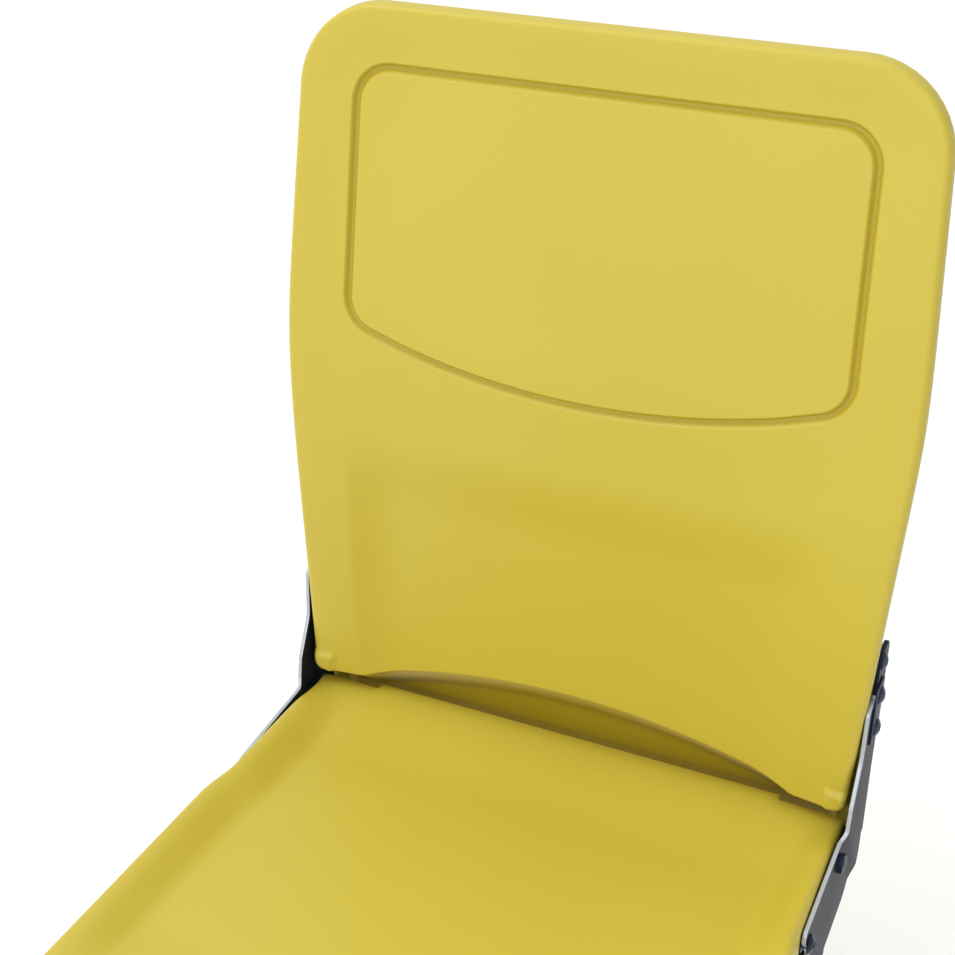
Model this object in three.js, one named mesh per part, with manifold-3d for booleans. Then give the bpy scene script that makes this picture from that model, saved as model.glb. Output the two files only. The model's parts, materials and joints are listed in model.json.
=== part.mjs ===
// A stadium seat that stands on the floor: a tall moulded backrest and a tip-up seat pan, held
// between two pressed side plates on a cross beam with two legs.
// Millimetres. +X is to the right seen from the front, +Y to the rear and +Z up, with the floor at z = 0.

import * as THREE from "three";
import { mergeVertices } from "three/addons/utils/BufferGeometryUtils.js";
import Module from "manifold-3d";

const wasm = await Module();
wasm.setup();

const degree = Math.PI / 180;

// Fits and cuts
const touchGap = 0.3; // left between two pieces that touch
const cutOverrun = 6; // how far each cutter runs past what it cuts

// Backrest outline, seen from the front. Heights are above the lower edge of its wings.
const wingHeight = 415; // floor to the lower edge of the wings
const backHeight = 512;
const backFootHalfWidth = 211.3;
const backTopHalfWidth = 213.6;
const backSpread = 3.06 * degree; // lean of its sides below the widest place
const backTaper = 3.43 * degree; // and above it
const backSideBlend = 2;
const backTopCorner = 60;
const backFootCorner = 9;

// Backrest profile, seen from the side
const backLowerTilt = 4.5 * degree;
const backUpperTilt = 10.2 * degree;
const backBendHeight = 235;
const backBendBlend = 25;
const backFootThickness = 40;
const backTopThickness = 26;
const rimDepth = 15.5; // the wider front part, which overhangs the body behind it
const rimStep = 4;
const rimEdge = 8;
const rimRearEdge = 4;
const bowlDepth = 4; // the face lies this far behind its own edges
const bowlRun = 45;
const bodyEdge = 8;
const backWall = 4;
const backVentRadius = 4;
const backVentHeight = 80;

// Recess for the lower back, between the wings
const wingInnerShare = 0.845;
const recessWallShare = 0.115;
const lumbarDepth = 9.5;
const shallowDepth = 3;
const lumbarFootShare = 0.6;
const lumbarFootHeight = 130;
const creaseLow = 165;
const creaseHigh = 210;
const shallowLow = 225;
const shallowHigh = 290;

// Arched lower edge, with the bevel and the skirt behind it
const archHalfWidth = 171;
const archRise = 28;
const archLand = 2;
const bevelDrop = 20;
const skirtFront = 24;
const skirtDrop = 45;

// Groove that frames the upper panel
const grooveTop = 472;
const grooveTopHalfWidth = 174;
const grooveFootHalfWidth = 179;
const grooveLowest = 265.7;
const grooveArcRadius = 531;
const grooveCorner = 25;
const grooveHalfWidth = 3.6;
const grooveDepth = 2.6;
const grooveCutProud = 1;

// Small stops moulded on the wings' lower corners
const lugWidth = 15;
const lugHeight = 17;
const lugProud = 3;
const lugBevel = 4;
const lugInset = 2;
const lugCorner = 7;

// Side plates of pressed steel: an upper arm for the back and a lower arm for the seat
const sheet = 3;
const plateInner = 216; // middle of the seat to the upper arm's inner face
const armStepIn = 3.5; // the lower arm is set in by this
const armStepLead = 9; // the step starts this far below the line from the elbow to the heel
const armStepTail = 5; // and ends this far above it
const armReach = 118; // the lower arm's tip, forward of the wings' lower edge
const armTopDrop = 6;
const armTipCorner = 6;
const elbowReach = 16;
const elbowCorner = 8;
const kneeReach = 11;
const kneeHeight = 16;
const kneeCorner = 12;
const wristSetback = 6.5;
const wristHeight = 46;
const wristCorner = 20;
const shoulderSetback = 10.5;
const shoulderHeight = 84;
const shoulderCorner = 5;
const neckSetback = 25;
const neckHeight = 88;
const neckCorner = 3;
const plateTop = 121;
const plateTopFront = 27;
const plateTopRear = 56;
const plateTopCorner = 10;
const plateWaistSetback = 46;
const plateWaistHeight = 10;
const plateWaistCorner = 60;
const heelSetback = 44;
const heelCorner = 38;
const plateDrop = 98;
const toeReach = 59;
const toeCorner = 20;
const flangeDepth = 46;
const flangeTop = 50; // the bent edge runs below this drop

// Seat pan. Its rim is a plane that rises to the front.
const seatRise = 5 * degree;
const seatRear = 19.5;
const seatFront = 400;
const seatRimDrop = 9.7; // rim at its rear edge, below the wings' lower edge
const seatOverhang = 0.5; // past the plates' inner faces, in front of the lower arms
const seatPlateGap = 1; // to each lower arm
const seatHalfWidth = plateInner + seatOverhang;
const seatRearHalfWidth = plateInner - armStepIn - seatPlateGap;
const rebateEnd = 122;
const rebateBlend = 38;
const seatDepth = 32;
const seatFrontCorner = 50;
const seatRearCorner = 14;
const seatFrontRoll = 26;
const seatFrontRollRun = 60;
const seatSideRoll = 8;
const seatUnderEdge = 5;
const seatWall = 4;
const seatVentRadius = 4;
const dishDepth = 15;
const dishWallOuter = 5;
const dishWallInner = 36;
const dishRearShare = 0.35;
const dishRearRun = 90;
const dishFrontStart = 385;
const dishFrontRun = 110;
const notchHalfWidth = 160.6;
const notchBlend = 4;
const notchDepth = 5.5;
const notchRun = 50;

// Hollow inside the seat pan
const seatHollowSide = 30;
const seatHollowRear = 16;
const seatHollowFront = 40;
const seatHollowCorner = 20;
const seatVentReach = 60;

// Hollow inside the backrest, narrower at the bottom where the inserts sit
const backHollowSide = 14;
const backHollowTop = 14;
const backHollowFootSide = 40;
const backHollowWaist = 145;
const backHollowFoot = 44;

// Bolts, screws and nuts, size M8
const boltRadius = 4;
const boltClearance = 0.4;
const boltHeadAcross = 13;
const boltHeadHeight = 5.3;
const nutHeight = 6.5;
const screwHeadRadius = 6.5;
const screwHeadHeight = 3;

// Screws that hold the backrest, as setback and height on the plate
const backScrews = {
  upper: { setback: 36, height: 112 },
  middle: { setback: 31, height: 87 },
  lower: { setback: 29, height: 60 },
};
const insertRadius = 6;
const insertLength = 20;
const screwGrip = 17; // how far a screw reaches into its insert

// Flat lands on the backrest's sides, against which the plates are screwed
const landHeight = 124;
const landDrop = 24;
const landFoot = 16; // its front edge starts here, level with the wings' lower edge
const landTopFront = 21;
const landTopRear = 45.5;
const landFootFront = 26;
const landFootRear = 37.5;
const landInner = 200;
const landCorner = 4;

// Pad under the middle and lower screws
const padThickness = 1.5;
const padHalfWidth = 11;
const padOverlap = 10.5; // past the screws, above and below
const padCorner = 4;

// Pivot of the seat
const pivotReach = 24; // forward of the wings' lower edge
const pivotDrop = 22.5;
const bushRadius = 7;
const bushFlangeRadius = 7.6;
const bushFlange = 1.5;
const bushLength = 20;
const pinEndInset = 1; // the bolt ends short of the bush
const pinPocketRadius = 8.2;

// Stop of the seat: a screw with a rubber sleeve, on which the pan rests
const stopReach = 104;
const stopDrop = 22;
const stopHeadRadius = 7;
const stopHeadHeight = 4;
const bufferRadius = 8;
const bufferLength = 11;
const slotClearance = 0.7;

// Cross beam of rectangular tube
const beamWidth = 60;
const beamDepth = 40;
const beamWall = 3;
const beamCorner = 5;
const beamHalfLength = 200;
const beamSetback = -20; // its middle, behind the wings' lower edge
const capThickness = 3;
const capPlugLength = 8;
const beamBoltInset = 20; // in from the beam's end
const beamBoltSpacing = 34;

// Legs and feet
const legOffset = 140;
const legWidth = 50;
const legWall = 3;
const legCorner = 5;
const footWidth = 100;
const footLength = 200;
const footThickness = 8;
const footCorner = 10;
const footSetback = -40;
const anchorHoleRadius = 5.5;
const anchorSpacingX = 70;
const anchorSpacingY = 160;
const gussetThickness = 5;
const gussetHeight = 60;
const gussetFrontLength = 62;
const gussetRearLength = 42;
const gussetLip = 8;

// How finely round things are faceted
const roundSides = 20;
const smallSides = 12;
const cornerSteps = 4;
const hexSides = 6;

const finish = (color, roughness, metalness) =>
  new THREE.MeshStandardMaterial({ color, roughness, metalness });
const yellowPlastic = finish(0xd3bf4d, 0.45, 0);
const darkPaint = finish(0x454850, 0.5, 0.3);
const zincSteel = finish(0xb4bac2, 0.35, 1);
const navyPlastic = finish(0x1d2a4a, 0.5, 0);
const blackPlastic = finish(0x1c1c1e, 0.6, 0);
const whiteNylon = finish(0xe6e4dc, 0.5, 0);
const blackRubber = finish(0x161616, 0.85, 0);
const brass = finish(0xb5913f, 0.35, 1);

// Solids and meshes

function solidOf(geometry) {
  const loose = geometry.index ? geometry.toNonIndexed() : geometry;
  const bare = new THREE.BufferGeometry();
  bare.setAttribute("position", loose.getAttribute("position").clone());
  const merged = mergeVertices(bare);
  const vertProperties = merged.attributes.position.array;
  const triVerts = new Uint32Array(merged.index.array);
  return new wasm.Manifold(new wasm.Mesh({ numProp: 3, vertProperties, triVerts }));
}

function geometryOf(solid) {
  const { vertProperties, triVerts } = solid.getMesh();
  const geometry = new THREE.BufferGeometry();
  geometry.setAttribute("position", new THREE.BufferAttribute(vertProperties, 3));
  geometry.setIndex(new THREE.BufferAttribute(triVerts, 1));
  return geometry;
}

function cut(body, ...tools) {
  return tools.reduce((left, tool) => left.subtract(tool), body);
}

function join(body, ...others) {
  return others.reduce((whole, other) => whole.add(other), body);
}

// Soft and smooth functions

function smoothStep(from, to, value) {
  return THREE.MathUtils.smoothstep(value, from, to);
}

function softMax(a, b, blend) {
  return Math.max(a, b) + blend * Math.log1p(Math.exp(-Math.abs(a - b) / blend));
}

// How far a rounded edge has fallen away, at a distance in from the outline
function edgeDrop(inset, radius) {
  const along = radius - THREE.MathUtils.clamp(inset, 0, radius);
  return radius - Math.sqrt(radius * radius - along * along);
}

// An outline is a strip from low to high with rounded corners, and half(v) is half its width.
function cornerHalf(half, corner, pastCentre) {
  return half - corner + Math.sqrt(Math.max(corner * corner - pastCentre * pastCentre, 0));
}

function halfAt(outline, v) {
  const { low, high, lowCorner, highCorner, half } = outline;
  const highCentre = high - highCorner;
  const lowCentre = low + lowCorner;
  if (v > highCentre) return cornerHalf(half(highCentre), highCorner, v - highCentre);
  if (v < lowCentre) return cornerHalf(half(lowCentre), lowCorner, lowCentre - v);
  return half(v);
}

function insetAt(outline, u, v) {
  const { low, high, lowCorner, highCorner, half } = outline;
  const side = Math.abs(u);
  const ends = [
    { past: v - (high - highCorner), corner: highCorner, centre: high - highCorner },
    { past: low + lowCorner - v, corner: lowCorner, centre: low + lowCorner },
  ];
  for (const { past, corner, centre } of ends) {
    const beside = side - (half(centre) - corner);
    if (past > 0 && beside > 0) return corner - Math.hypot(beside, past);
  }
  return Math.min(half(v) - side, high - v, v - low);
}

// Rows or columns close together where an edge is rounded
const edgeShares = [0.5, 0.15, 0];
const cornerShares = [1, 0.6, 0.3];

function endSteps(corner, edge) {
  return [...cornerShares.map((share) => share * corner), edge, ...edgeShares.map((share) => share * edge)];
}

function ascending(values) {
  return [...new Set(values)].sort((a, b) => a - b);
}

function columnsAcross(half, edge, shares) {
  const between = shares.map((share) => share * (half - edge));
  const right = [...between, ...edgeShares.map((share) => half - share * edge)];
  return [...right.slice(1).map((u) => -u).reverse(), ...right];
}

// A closed slab over a grid of rows and columns, between an upper and a lower height.
function slab(rows, columnsAt, upper, lower) {
  const across = columnsAt(rows[0]).length;
  const layer = rows.length * across;
  const points = [];
  for (const height of [upper, lower])
    for (const v of rows) for (const u of columnsAt(v)) points.push(u, v, height(u, v));
  const faces = [];
  const quad = (a, b, c, d) => faces.push(a, b, c, a, c, d);
  for (let row = 0; row + 1 < rows.length; row++)
    for (let column = 0; column + 1 < across; column++) {
      const a = row * across + column;
      quad(a, a + 1, a + across + 1, a + across);
      quad(layer + a + across, layer + a + across + 1, layer + a + 1, layer + a);
    }
  const last = across - 1;
  const border = [
    ...Array.from({ length: last }, (_, column) => column),
    ...Array.from({ length: rows.length - 1 }, (_, row) => row * across + last),
    ...Array.from({ length: last }, (_, column) => layer - 1 - column),
    ...Array.from({ length: rows.length - 1 }, (_, row) => (rows.length - 1 - row) * across),
  ];
  border.forEach((a, index) => {
    const b = border[(index + 1) % border.length];
    quad(layer + a, layer + b, b, a);
  });
  const geometry = new THREE.BufferGeometry();
  geometry.setAttribute("position", new THREE.Float32BufferAttribute(points, 3));
  geometry.setIndex(faces);
  return geometry;
}

// Closed loops of the same count, joined one to the next. A ring of loops has no ends.
function loft(loops, isRing = false) {
  const count = loops[0].length;
  const faces = [];
  const spans = isRing ? loops.length : loops.length - 1;
  for (let loop = 0; loop < spans; loop++)
    for (let k = 0; k < count; k++) {
      const next = (k + 1) % count;
      const here = loop * count;
      const there = ((loop + 1) % loops.length) * count;
      faces.push(here + k, here + next, there + next, here + k, there + next, there + k);
    }
  if (!isRing)
    for (let k = 1; k + 1 < count; k++) {
      const end = (loops.length - 1) * count;
      faces.push(0, k + 1, k, end, end + k, end + k + 1);
    }
  const geometry = new THREE.BufferGeometry();
  geometry.setAttribute("position", new THREE.Float32BufferAttribute(loops.flat(2), 3));
  geometry.setIndex(faces);
  return geometry;
}

// Outlines with rounded corners, from corners of the form [a, b, radius]
function roundedShape(corners) {
  const shape = new THREE.Shape();
  corners.forEach(([a, b, radius], index) => {
    const [beforeA, beforeB] = corners.at(index - 1);
    const [afterA, afterB] = corners[(index + 1) % corners.length];
    const corner = new THREE.Vector2(a, b);
    const back = new THREE.Vector2(beforeA, beforeB).sub(corner).normalize();
    const on = new THREE.Vector2(afterA, afterB).sub(corner).normalize();
    const halfAngle = Math.acos(THREE.MathUtils.clamp(back.dot(on), -1, 1)) / 2;
    const reach = radius / Math.tan(halfAngle);
    const start = corner.clone().addScaledVector(back, reach);
    const end = corner.clone().addScaledVector(on, reach);
    if (index === 0) shape.moveTo(start.x, start.y);
    else shape.lineTo(start.x, start.y);
    if (radius > 0) shape.quadraticCurveTo(a, b, end.x, end.y);
  });
  shape.closePath();
  return shape;
}

// The same corners, each side moved in by a distance. The corners run counterclockwise.
function movedIn(corners, distance) {
  const sides = corners.map(([a, b], index) => {
    const [nextA, nextB] = corners[(index + 1) % corners.length];
    const along = new THREE.Vector2(nextA - a, nextB - b).normalize();
    return { along, point: new THREE.Vector2(a - along.y * distance, b + along.x * distance) };
  });
  return corners.map(([, , radius], index) => {
    const one = sides.at(index - 1);
    const two = sides[index];
    const between = two.point.clone().sub(one.point);
    const reach = between.cross(two.along) / one.along.cross(two.along);
    const met = one.point.clone().addScaledVector(one.along, reach);
    return [met.x, met.y, Math.max(radius - distance, 0)];
  });
}

function rectangle(halfA, halfB, corner) {
  return roundedShape([
    [-halfA, -halfB, corner],
    [halfA, -halfB, corner],
    [halfA, halfB, corner],
    [-halfA, halfB, corner],
  ]);
}

function extrude(shape, depth, curveSegments = cornerSteps) {
  return new THREE.ExtrudeGeometry(shape, { depth, bevelEnabled: false, curveSegments });
}

// An outline in setback and height, extruded in +X from one place to another
function sidewaysExtrude(shape, from, to) {
  const axes = new THREE.Matrix4().makeBasis(
    new THREE.Vector3(0, 1, 0),
    new THREE.Vector3(0, 0, 1),
    new THREE.Vector3(1, 0, 0),
  );
  return extrude(shape, to - from).applyMatrix4(axes).translate(from, 0, 0);
}

// Round bars along X and Z, from one place to another
function barX(radius, from, to, sides = smallSides) {
  const bar = new THREE.CylinderGeometry(radius, radius, to - from, sides);
  return bar.rotateZ(-Math.PI / 2).translate((from + to) / 2, 0, 0);
}

function barZ(radius, from, to, sides = smallSides) {
  const bar = new THREE.CylinderGeometry(radius, radius, to - from, sides);
  return bar.rotateX(Math.PI / 2).translate(0, 0, (from + to) / 2);
}

// A turned piece along +X, from a closed profile of [x, radius]
function turned(profile, sides = smallSides) {
  const points = profile.map(([x, radius]) => new THREE.Vector2(radius, x));
  return new THREE.LatheGeometry([...points, points[0]], sides).rotateZ(-Math.PI / 2);
}

function ring(inner, outer, from, to, sides = smallSides) {
  return turned([[from, inner], [from, outer], [to, outer], [to, inner]], sides);
}

const hexRadius = boltHeadAcross / 2 / Math.cos(Math.PI / hexSides);

// Bolts that point to -X, with the underside of the head at x = 0
function bolt(head, headHeight, length) {
  return geometryOf(join(solidOf(head), solidOf(barX(boltRadius, -length, headHeight / 2))));
}

function hexBolt(length) {
  return bolt(barX(hexRadius, 0, boltHeadHeight, hexSides), boltHeadHeight, length);
}

function roundBolt(radius, height, length) {
  return bolt(barX(radius, 0, height), height, length);
}

function hexNut() {
  const bore = solidOf(barX(boltRadius + touchGap, -cutOverrun, nutHeight + cutOverrun));
  return geometryOf(cut(solidOf(barX(hexRadius, 0, nutHeight, hexSides)), bore));
}

// Backrest

function profileSetback(height) {
  const bend = softMax(height - backBendHeight, 0, backBendBlend);
  return height * Math.tan(backLowerTilt) + bend * (Math.tan(backUpperTilt) - Math.tan(backLowerTilt));
}

function sideHalf(height) {
  const lower = backFootHalfWidth + height * Math.tan(backSpread);
  const upper = backTopHalfWidth + (backHeight - height) * Math.tan(backTaper);
  return -softMax(-lower, -upper, backSideBlend);
}

function recessDepthAt(height) {
  const shallow = shallowDepth * (1 - smoothStep(shallowLow, shallowHigh, height));
  const foot = THREE.MathUtils.lerp(lumbarFootShare, 1, smoothStep(0, lumbarFootHeight, height));
  return shallow + (lumbarDepth - shallowDepth) * foot * (1 - smoothStep(creaseLow, creaseHigh, height));
}

function recess(x, height) {
  const share = Math.abs(x) / (sideHalf(height) - rimEdge);
  const across = THREE.MathUtils.clamp((wingInnerShare - share) / recessWallShare, 0, 1);
  return recessDepthAt(height) * Math.sin((across * Math.PI) / 2);
}

// Where the front of the backrest lies behind the wings' lower edge, its rounded rim left out
function faceSetback(x, height) {
  const bowl = bowlDepth * smoothStep(0, bowlRun, insetAt(openOutline, x, height));
  return profileSetback(height) + bowl + recess(x, height);
}

function backThickness(height) {
  return THREE.MathUtils.lerp(backFootThickness, backTopThickness, height / backHeight);
}

function backOutline(inset, foot, footCorner) {
  return {
    low: foot,
    high: backHeight - inset,
    lowCorner: footCorner,
    highCorner: backTopCorner - inset,
    half: (height) => sideHalf(height) - inset,
  };
}

// Without its foot, which the lower edge isn't rounded towards
const openOutline = { ...backOutline(0, 0, backFootCorner), low: -backHeight, lowCorner: 0 };

// A slab that stands up: its upper side faces forward
function standing(rows, columnsAt, front, rear) {
  const forward = (setback) => (x, height) => -setback(x, height);
  return slab(rows, columnsAt, forward(front), forward(rear)).rotateX(Math.PI / 2);
}

const faceColumnShares = [0, 0.4, 0.73, 0.76, 0.8, 0.83, 0.845, 1];
const plainColumnShares = [0, 0.5, 0.85, 1];
const faceHeightShares = [0.06, 0.15, 0.25, 0.32, 0.35, 0.38, 0.41, 0.45, 0.49, 0.53, 0.57, 0.72];
const plainHeightShares = [0.25, 0.4, 0.46, 0.52, 0.6];

function upRows(outline, edge, shares) {
  const { low, high, lowCorner, highCorner } = outline;
  const between = shares.map((share) => share * backHeight);
  const inside = between.filter((v) => v > low + lowCorner && v < high - highCorner);
  return ascending([
    low,
    ...cornerShares.map((share) => low + share * lowCorner),
    ...inside,
    ...endSteps(highCorner, edge).map((step) => high - step),
  ]);
}

// The wide front part. Only its sides and top are rounded.
function rimSolid() {
  const outline = backOutline(0, 0, backFootCorner);
  const inset = (x, height) => insetAt(openOutline, x, height);
  const front = (x, height) => faceSetback(x, height) + edgeDrop(inset(x, height), rimEdge);
  const rear = (x, height) => profileSetback(height) + rimDepth - edgeDrop(inset(x, height), rimRearEdge);
  const columns = (v) => columnsAcross(halfAt(outline, v), rimEdge, faceColumnShares);
  return solidOf(standing(upRows(outline, rimEdge, faceHeightShares), columns, front, rear));
}

// The narrower box behind it, down to the end of the skirt
function bodySolid() {
  const outline = backOutline(rimStep, -skirtDrop, bodyEdge);
  const front = (x, height) => profileSetback(height) + (bowlDepth + recessDepthAt(height) + rimDepth) / 2;
  const rear = (x, height) =>
    profileSetback(height) + backThickness(height) - edgeDrop(insetAt(outline, x, height), bodyEdge);
  const columns = (v) => columnsAcross(halfAt(outline, v), bodyEdge, plainColumnShares);
  return solidOf(standing(upRows(outline, bodyEdge, [0, ...plainHeightShares]), columns, front, rear));
}

function hollowSolid(side, foot, top, topCorner) {
  const outline = {
    low: foot,
    high: top,
    lowCorner: bodyEdge,
    highCorner: topCorner,
    half: (height) => sideHalf(height) - side,
  };
  const front = (x, height) => faceSetback(x, height) + backWall;
  const rear = (x, height) => profileSetback(height) + backThickness(height) - backWall;
  const columns = (v) => columnsAcross(halfAt(outline, v), bodyEdge, plainColumnShares);
  const rows = upRows(outline, bodyEdge, plainHeightShares);
  return solidOf(standing(rows, columns, front, rear));
}

// What is cleared away below the arched edge: forward of the bevel and of the skirt
function archHeight(x) {
  const radius = (archHalfWidth * archHalfWidth + archRise * archRise) / (2 * archRise);
  if (Math.abs(x) >= archHalfWidth) return 0;
  return Math.sqrt(radius * radius - x * x) - (radius - archRise);
}

function archCutter() {
  const shares = [0, 0.16, 0.32, 0.48, 0.62, 0.75, 0.86, 0.94, 1];
  const right = [...shares.map((share) => share * archHalfWidth), sideHalf(0) + cutOverrun];
  const stations = [...right.slice(1).map((x) => -x).reverse(), ...right];
  const ahead = -(lugProud + cutOverrun);
  const loops = stations.map((x) => {
    const edge = archHeight(x);
    const landed = faceSetback(x, edge) + archLand;
    const below = -(skirtDrop + cutOverrun);
    return [
      [x, ahead, below],
      [x, skirtFront, below],
      [x, skirtFront, edge - bevelDrop],
      [x, landed, edge],
      [x, ahead, edge],
    ];
  });
  return solidOf(loft(loops));
}

function groovePath() {
  const footDrop = grooveArcRadius - Math.sqrt(grooveArcRadius ** 2 - grooveFootHalfWidth ** 2);
  const foot = grooveLowest + footDrop;
  const arcCentre = grooveLowest + grooveArcRadius;
  const arcEnd = Math.asin((grooveFootHalfWidth - grooveCorner) / grooveArcRadius);
  const path = new THREE.Path();
  path.moveTo(-grooveTopHalfWidth + grooveCorner, grooveTop);
  path.lineTo(grooveTopHalfWidth - grooveCorner, grooveTop);
  path.quadraticCurveTo(grooveTopHalfWidth, grooveTop, grooveTopHalfWidth, grooveTop - grooveCorner);
  path.lineTo(grooveFootHalfWidth, foot + grooveCorner);
  path.quadraticCurveTo(
    grooveFootHalfWidth,
    foot,
    grooveArcRadius * Math.sin(arcEnd),
    arcCentre - grooveArcRadius * Math.cos(arcEnd),
  );
  const down = -Math.PI / 2;
  path.absarc(0, arcCentre, grooveArcRadius, down + arcEnd, down - arcEnd, true);
  path.quadraticCurveTo(-grooveFootHalfWidth, foot, -grooveFootHalfWidth, foot + grooveCorner);
  path.lineTo(-grooveTopHalfWidth, grooveTop - grooveCorner);
  path.quadraticCurveTo(-grooveTopHalfWidth, grooveTop, -grooveTopHalfWidth + grooveCorner, grooveTop);
  return path.getPoints(cornerSteps + 1);
}

function grooveCutter() {
  const shoulderShare = 0.6;
  const section = [
    [-grooveHalfWidth, -grooveCutProud],
    [-grooveHalfWidth * shoulderShare, grooveDepth * shoulderShare],
    [0, grooveDepth],
    [grooveHalfWidth * shoulderShare, grooveDepth * shoulderShare],
    [grooveHalfWidth, -grooveCutProud],
  ];
  const path = groovePath();
  if (path[0].distanceTo(path.at(-1)) < touchGap) path.pop();
  const loops = path.map((point, index) => {
    const along = path[(index + 1) % path.length].clone().sub(path.at(index - 1)).normalize();
    return section.map(([aside, deep]) => {
      const x = point.x - along.y * aside;
      const height = point.y + along.x * aside;
      return [x, faceSetback(x, height) + deep, height];
    });
  });
  return solidOf(loft(loops, true));
}

// Each lug follows the rounded corner of its wing
function lugSolids() {
  const shape = new THREE.Shape();
  shape.moveTo(-lugProud, 0);
  shape.lineTo(rimEdge, 0);
  shape.lineTo(rimEdge, lugHeight);
  shape.lineTo(profileSetback(lugHeight), lugHeight);
  shape.lineTo(-lugProud, lugHeight - lugBevel);
  shape.closePath();
  const outer = sideHalf(0) - lugInset;
  const inner = outer - lugWidth;
  const seenFromFront = roundedShape([
    [inner, 0, 0],
    [outer, 0, lugCorner],
    [outer, lugHeight, 0],
    [inner, lugHeight, 0],
  ]);
  const forward = new THREE.Matrix4().makeBasis(
    new THREE.Vector3(1, 0, 0),
    new THREE.Vector3(0, 0, 1),
    new THREE.Vector3(0, -1, 0),
  );
  const through = extrude(seenFromFront, rimEdge + lugProud + 2 * cutOverrun).applyMatrix4(forward);
  const outlines = bothSides(through.translate(0, rimEdge + cutOverrun, 0));
  const profiles = bothSides(sidewaysExtrude(shape, inner, outer));
  return profiles.map((profile, index) => profile.intersect(outlines[index]));
}

// The same on the other side of x = 0, with its faces turned round to stay outside
function mirrored(geometry) {
  const loose = geometry.index ? geometry.toNonIndexed() : geometry;
  const from = loose.getAttribute("position");
  const points = [];
  for (let first = 0; first < from.count; first += 3)
    for (const k of [first, first + 2, first + 1]) points.push(-from.getX(k), from.getY(k), from.getZ(k));
  const other = new THREE.BufferGeometry();
  other.setAttribute("position", new THREE.Float32BufferAttribute(points, 3));
  return other;
}

function bothSides(geometry) {
  return [solidOf(geometry), solidOf(mirrored(geometry))];
}

const landFace = plateInner - touchGap;

function backShell() {
  const land = roundedShape([
    [landFoot, 0, 0],
    [landFootFront, -landDrop, landCorner],
    [landFootRear, -landDrop, landCorner],
    [landTopRear, landHeight, landCorner],
    [landTopFront, landHeight, landCorner],
  ]);
  const holes = Object.values(backScrews).flatMap(({ setback, height }) => {
    const from = landFace - insertLength - touchGap;
    const hole = barX(insertRadius + touchGap, from, landFace + cutOverrun);
    return bothSides(hole.translate(0, setback, height));
  });
  const vent = new THREE.CylinderGeometry(backVentRadius, backVentRadius, backFootThickness, smallSides);
  const ventSetback = profileSetback(backVentHeight) + backFootThickness;
  const lands = bothSides(sidewaysExtrude(land, landInner, landFace));
  const outer = join(rimSolid(), bodySolid(), ...lands);
  return cut(
    join(cut(outer, archCutter()), ...lugSolids()),
    grooveCutter(),
    hollowSolid(backHollowFootSide, backHollowFoot, backHollowWaist + bodyEdge, bodyEdge),
    hollowSolid(backHollowSide, backHollowWaist, backHeight - backHollowTop, backTopCorner - backHollowSide),
    solidOf(vent.translate(0, ventSetback, backVentHeight)),
    ...holes,
  );
}

// Seat pan. Reach is how far forward a place lies, and setback is its opposite.

function rimPlane(setback) {
  return -seatRimDrop - (setback - seatRear) * Math.tan(seatRise);
}

function panHalf(setback) {
  const widened = smoothStep(rebateEnd, rebateEnd + rebateBlend, -setback);
  return THREE.MathUtils.lerp(seatRearHalfWidth, seatHalfWidth, widened);
}

const panOutline = {
  low: -seatFront,
  high: seatRear,
  lowCorner: seatFrontCorner,
  highCorner: seatRearCorner,
  half: panHalf,
};

function dish(x, setback) {
  const inset = panHalf(setback) - Math.abs(x);
  const across = smoothStep(dishWallOuter, dishWallInner, inset);
  const rear = THREE.MathUtils.lerp(dishRearShare, 1, smoothStep(0, dishRearRun, seatRear - setback));
  const front = smoothStep(0, dishFrontRun, dishFrontStart + setback);
  return dishDepth * across * rear * front;
}

function frontRoll(setback) {
  const behindRoll = smoothStep(0, seatFrontRollRun, setback + seatFront);
  return THREE.MathUtils.lerp(seatFrontRoll, seatSideRoll, behindRoll);
}

function panTop(x, setback) {
  return rimPlane(setback) - dish(x, setback) - edgeDrop(insetAt(panOutline, x, setback), frontRoll(setback));
}

function panUnderside(x, setback) {
  return rimPlane(setback) - seatDepth + edgeDrop(insetAt(panOutline, x, setback), seatUnderEdge);
}

const panRowShares = [0, 0.06, 0.13, 0.2, 0.3, 0.35, 0.4, 0.7, 0.8];
const panInnerShares = [0, 0.35, 0.7, 1];
const panWallShares = [0, 0.35, 0.7, 1];
const wallStartShare = 0.88;

function panColumns(setback) {
  const half = halfAt(panOutline, setback);
  const flat = half - seatSideRoll;
  const wallStart = Math.min(notchHalfWidth + notchBlend, wallStartShare * flat);
  const right = [
    ...panInnerShares.map((share) => share * (wallStart - notchBlend)),
    ...panWallShares.map((share) => THREE.MathUtils.lerp(wallStart, flat, share)),
    ...edgeShares.map((share) => half - share * seatSideRoll),
  ];
  return [...right.slice(1).map((x) => -x).reverse(), ...right];
}

// The rear edge stands back further between the two ends of the notch
function notchRear(geometry) {
  const position = geometry.getAttribute("position");
  for (let k = 0; k < position.count; k++) {
    const aside = smoothStep(notchHalfWidth, notchHalfWidth + notchBlend, Math.abs(position.getX(k)));
    const near = smoothStep(seatRear - notchRun, seatRear - seatRearCorner, position.getY(k));
    position.setY(k, position.getY(k) - notchDepth * aside * near);
  }
  return geometry;
}

function panSolid() {
  const rows = ascending([
    ...endSteps(seatFrontCorner, seatFrontRoll).map((step) => step - seatFront),
    ...panRowShares.map((share) => -share * seatFront),
    ...endSteps(seatRearCorner, seatSideRoll).map((step) => seatRear - step),
  ]);
  return solidOf(notchRear(slab(rows, panColumns, panTop, panUnderside)));
}

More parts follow.
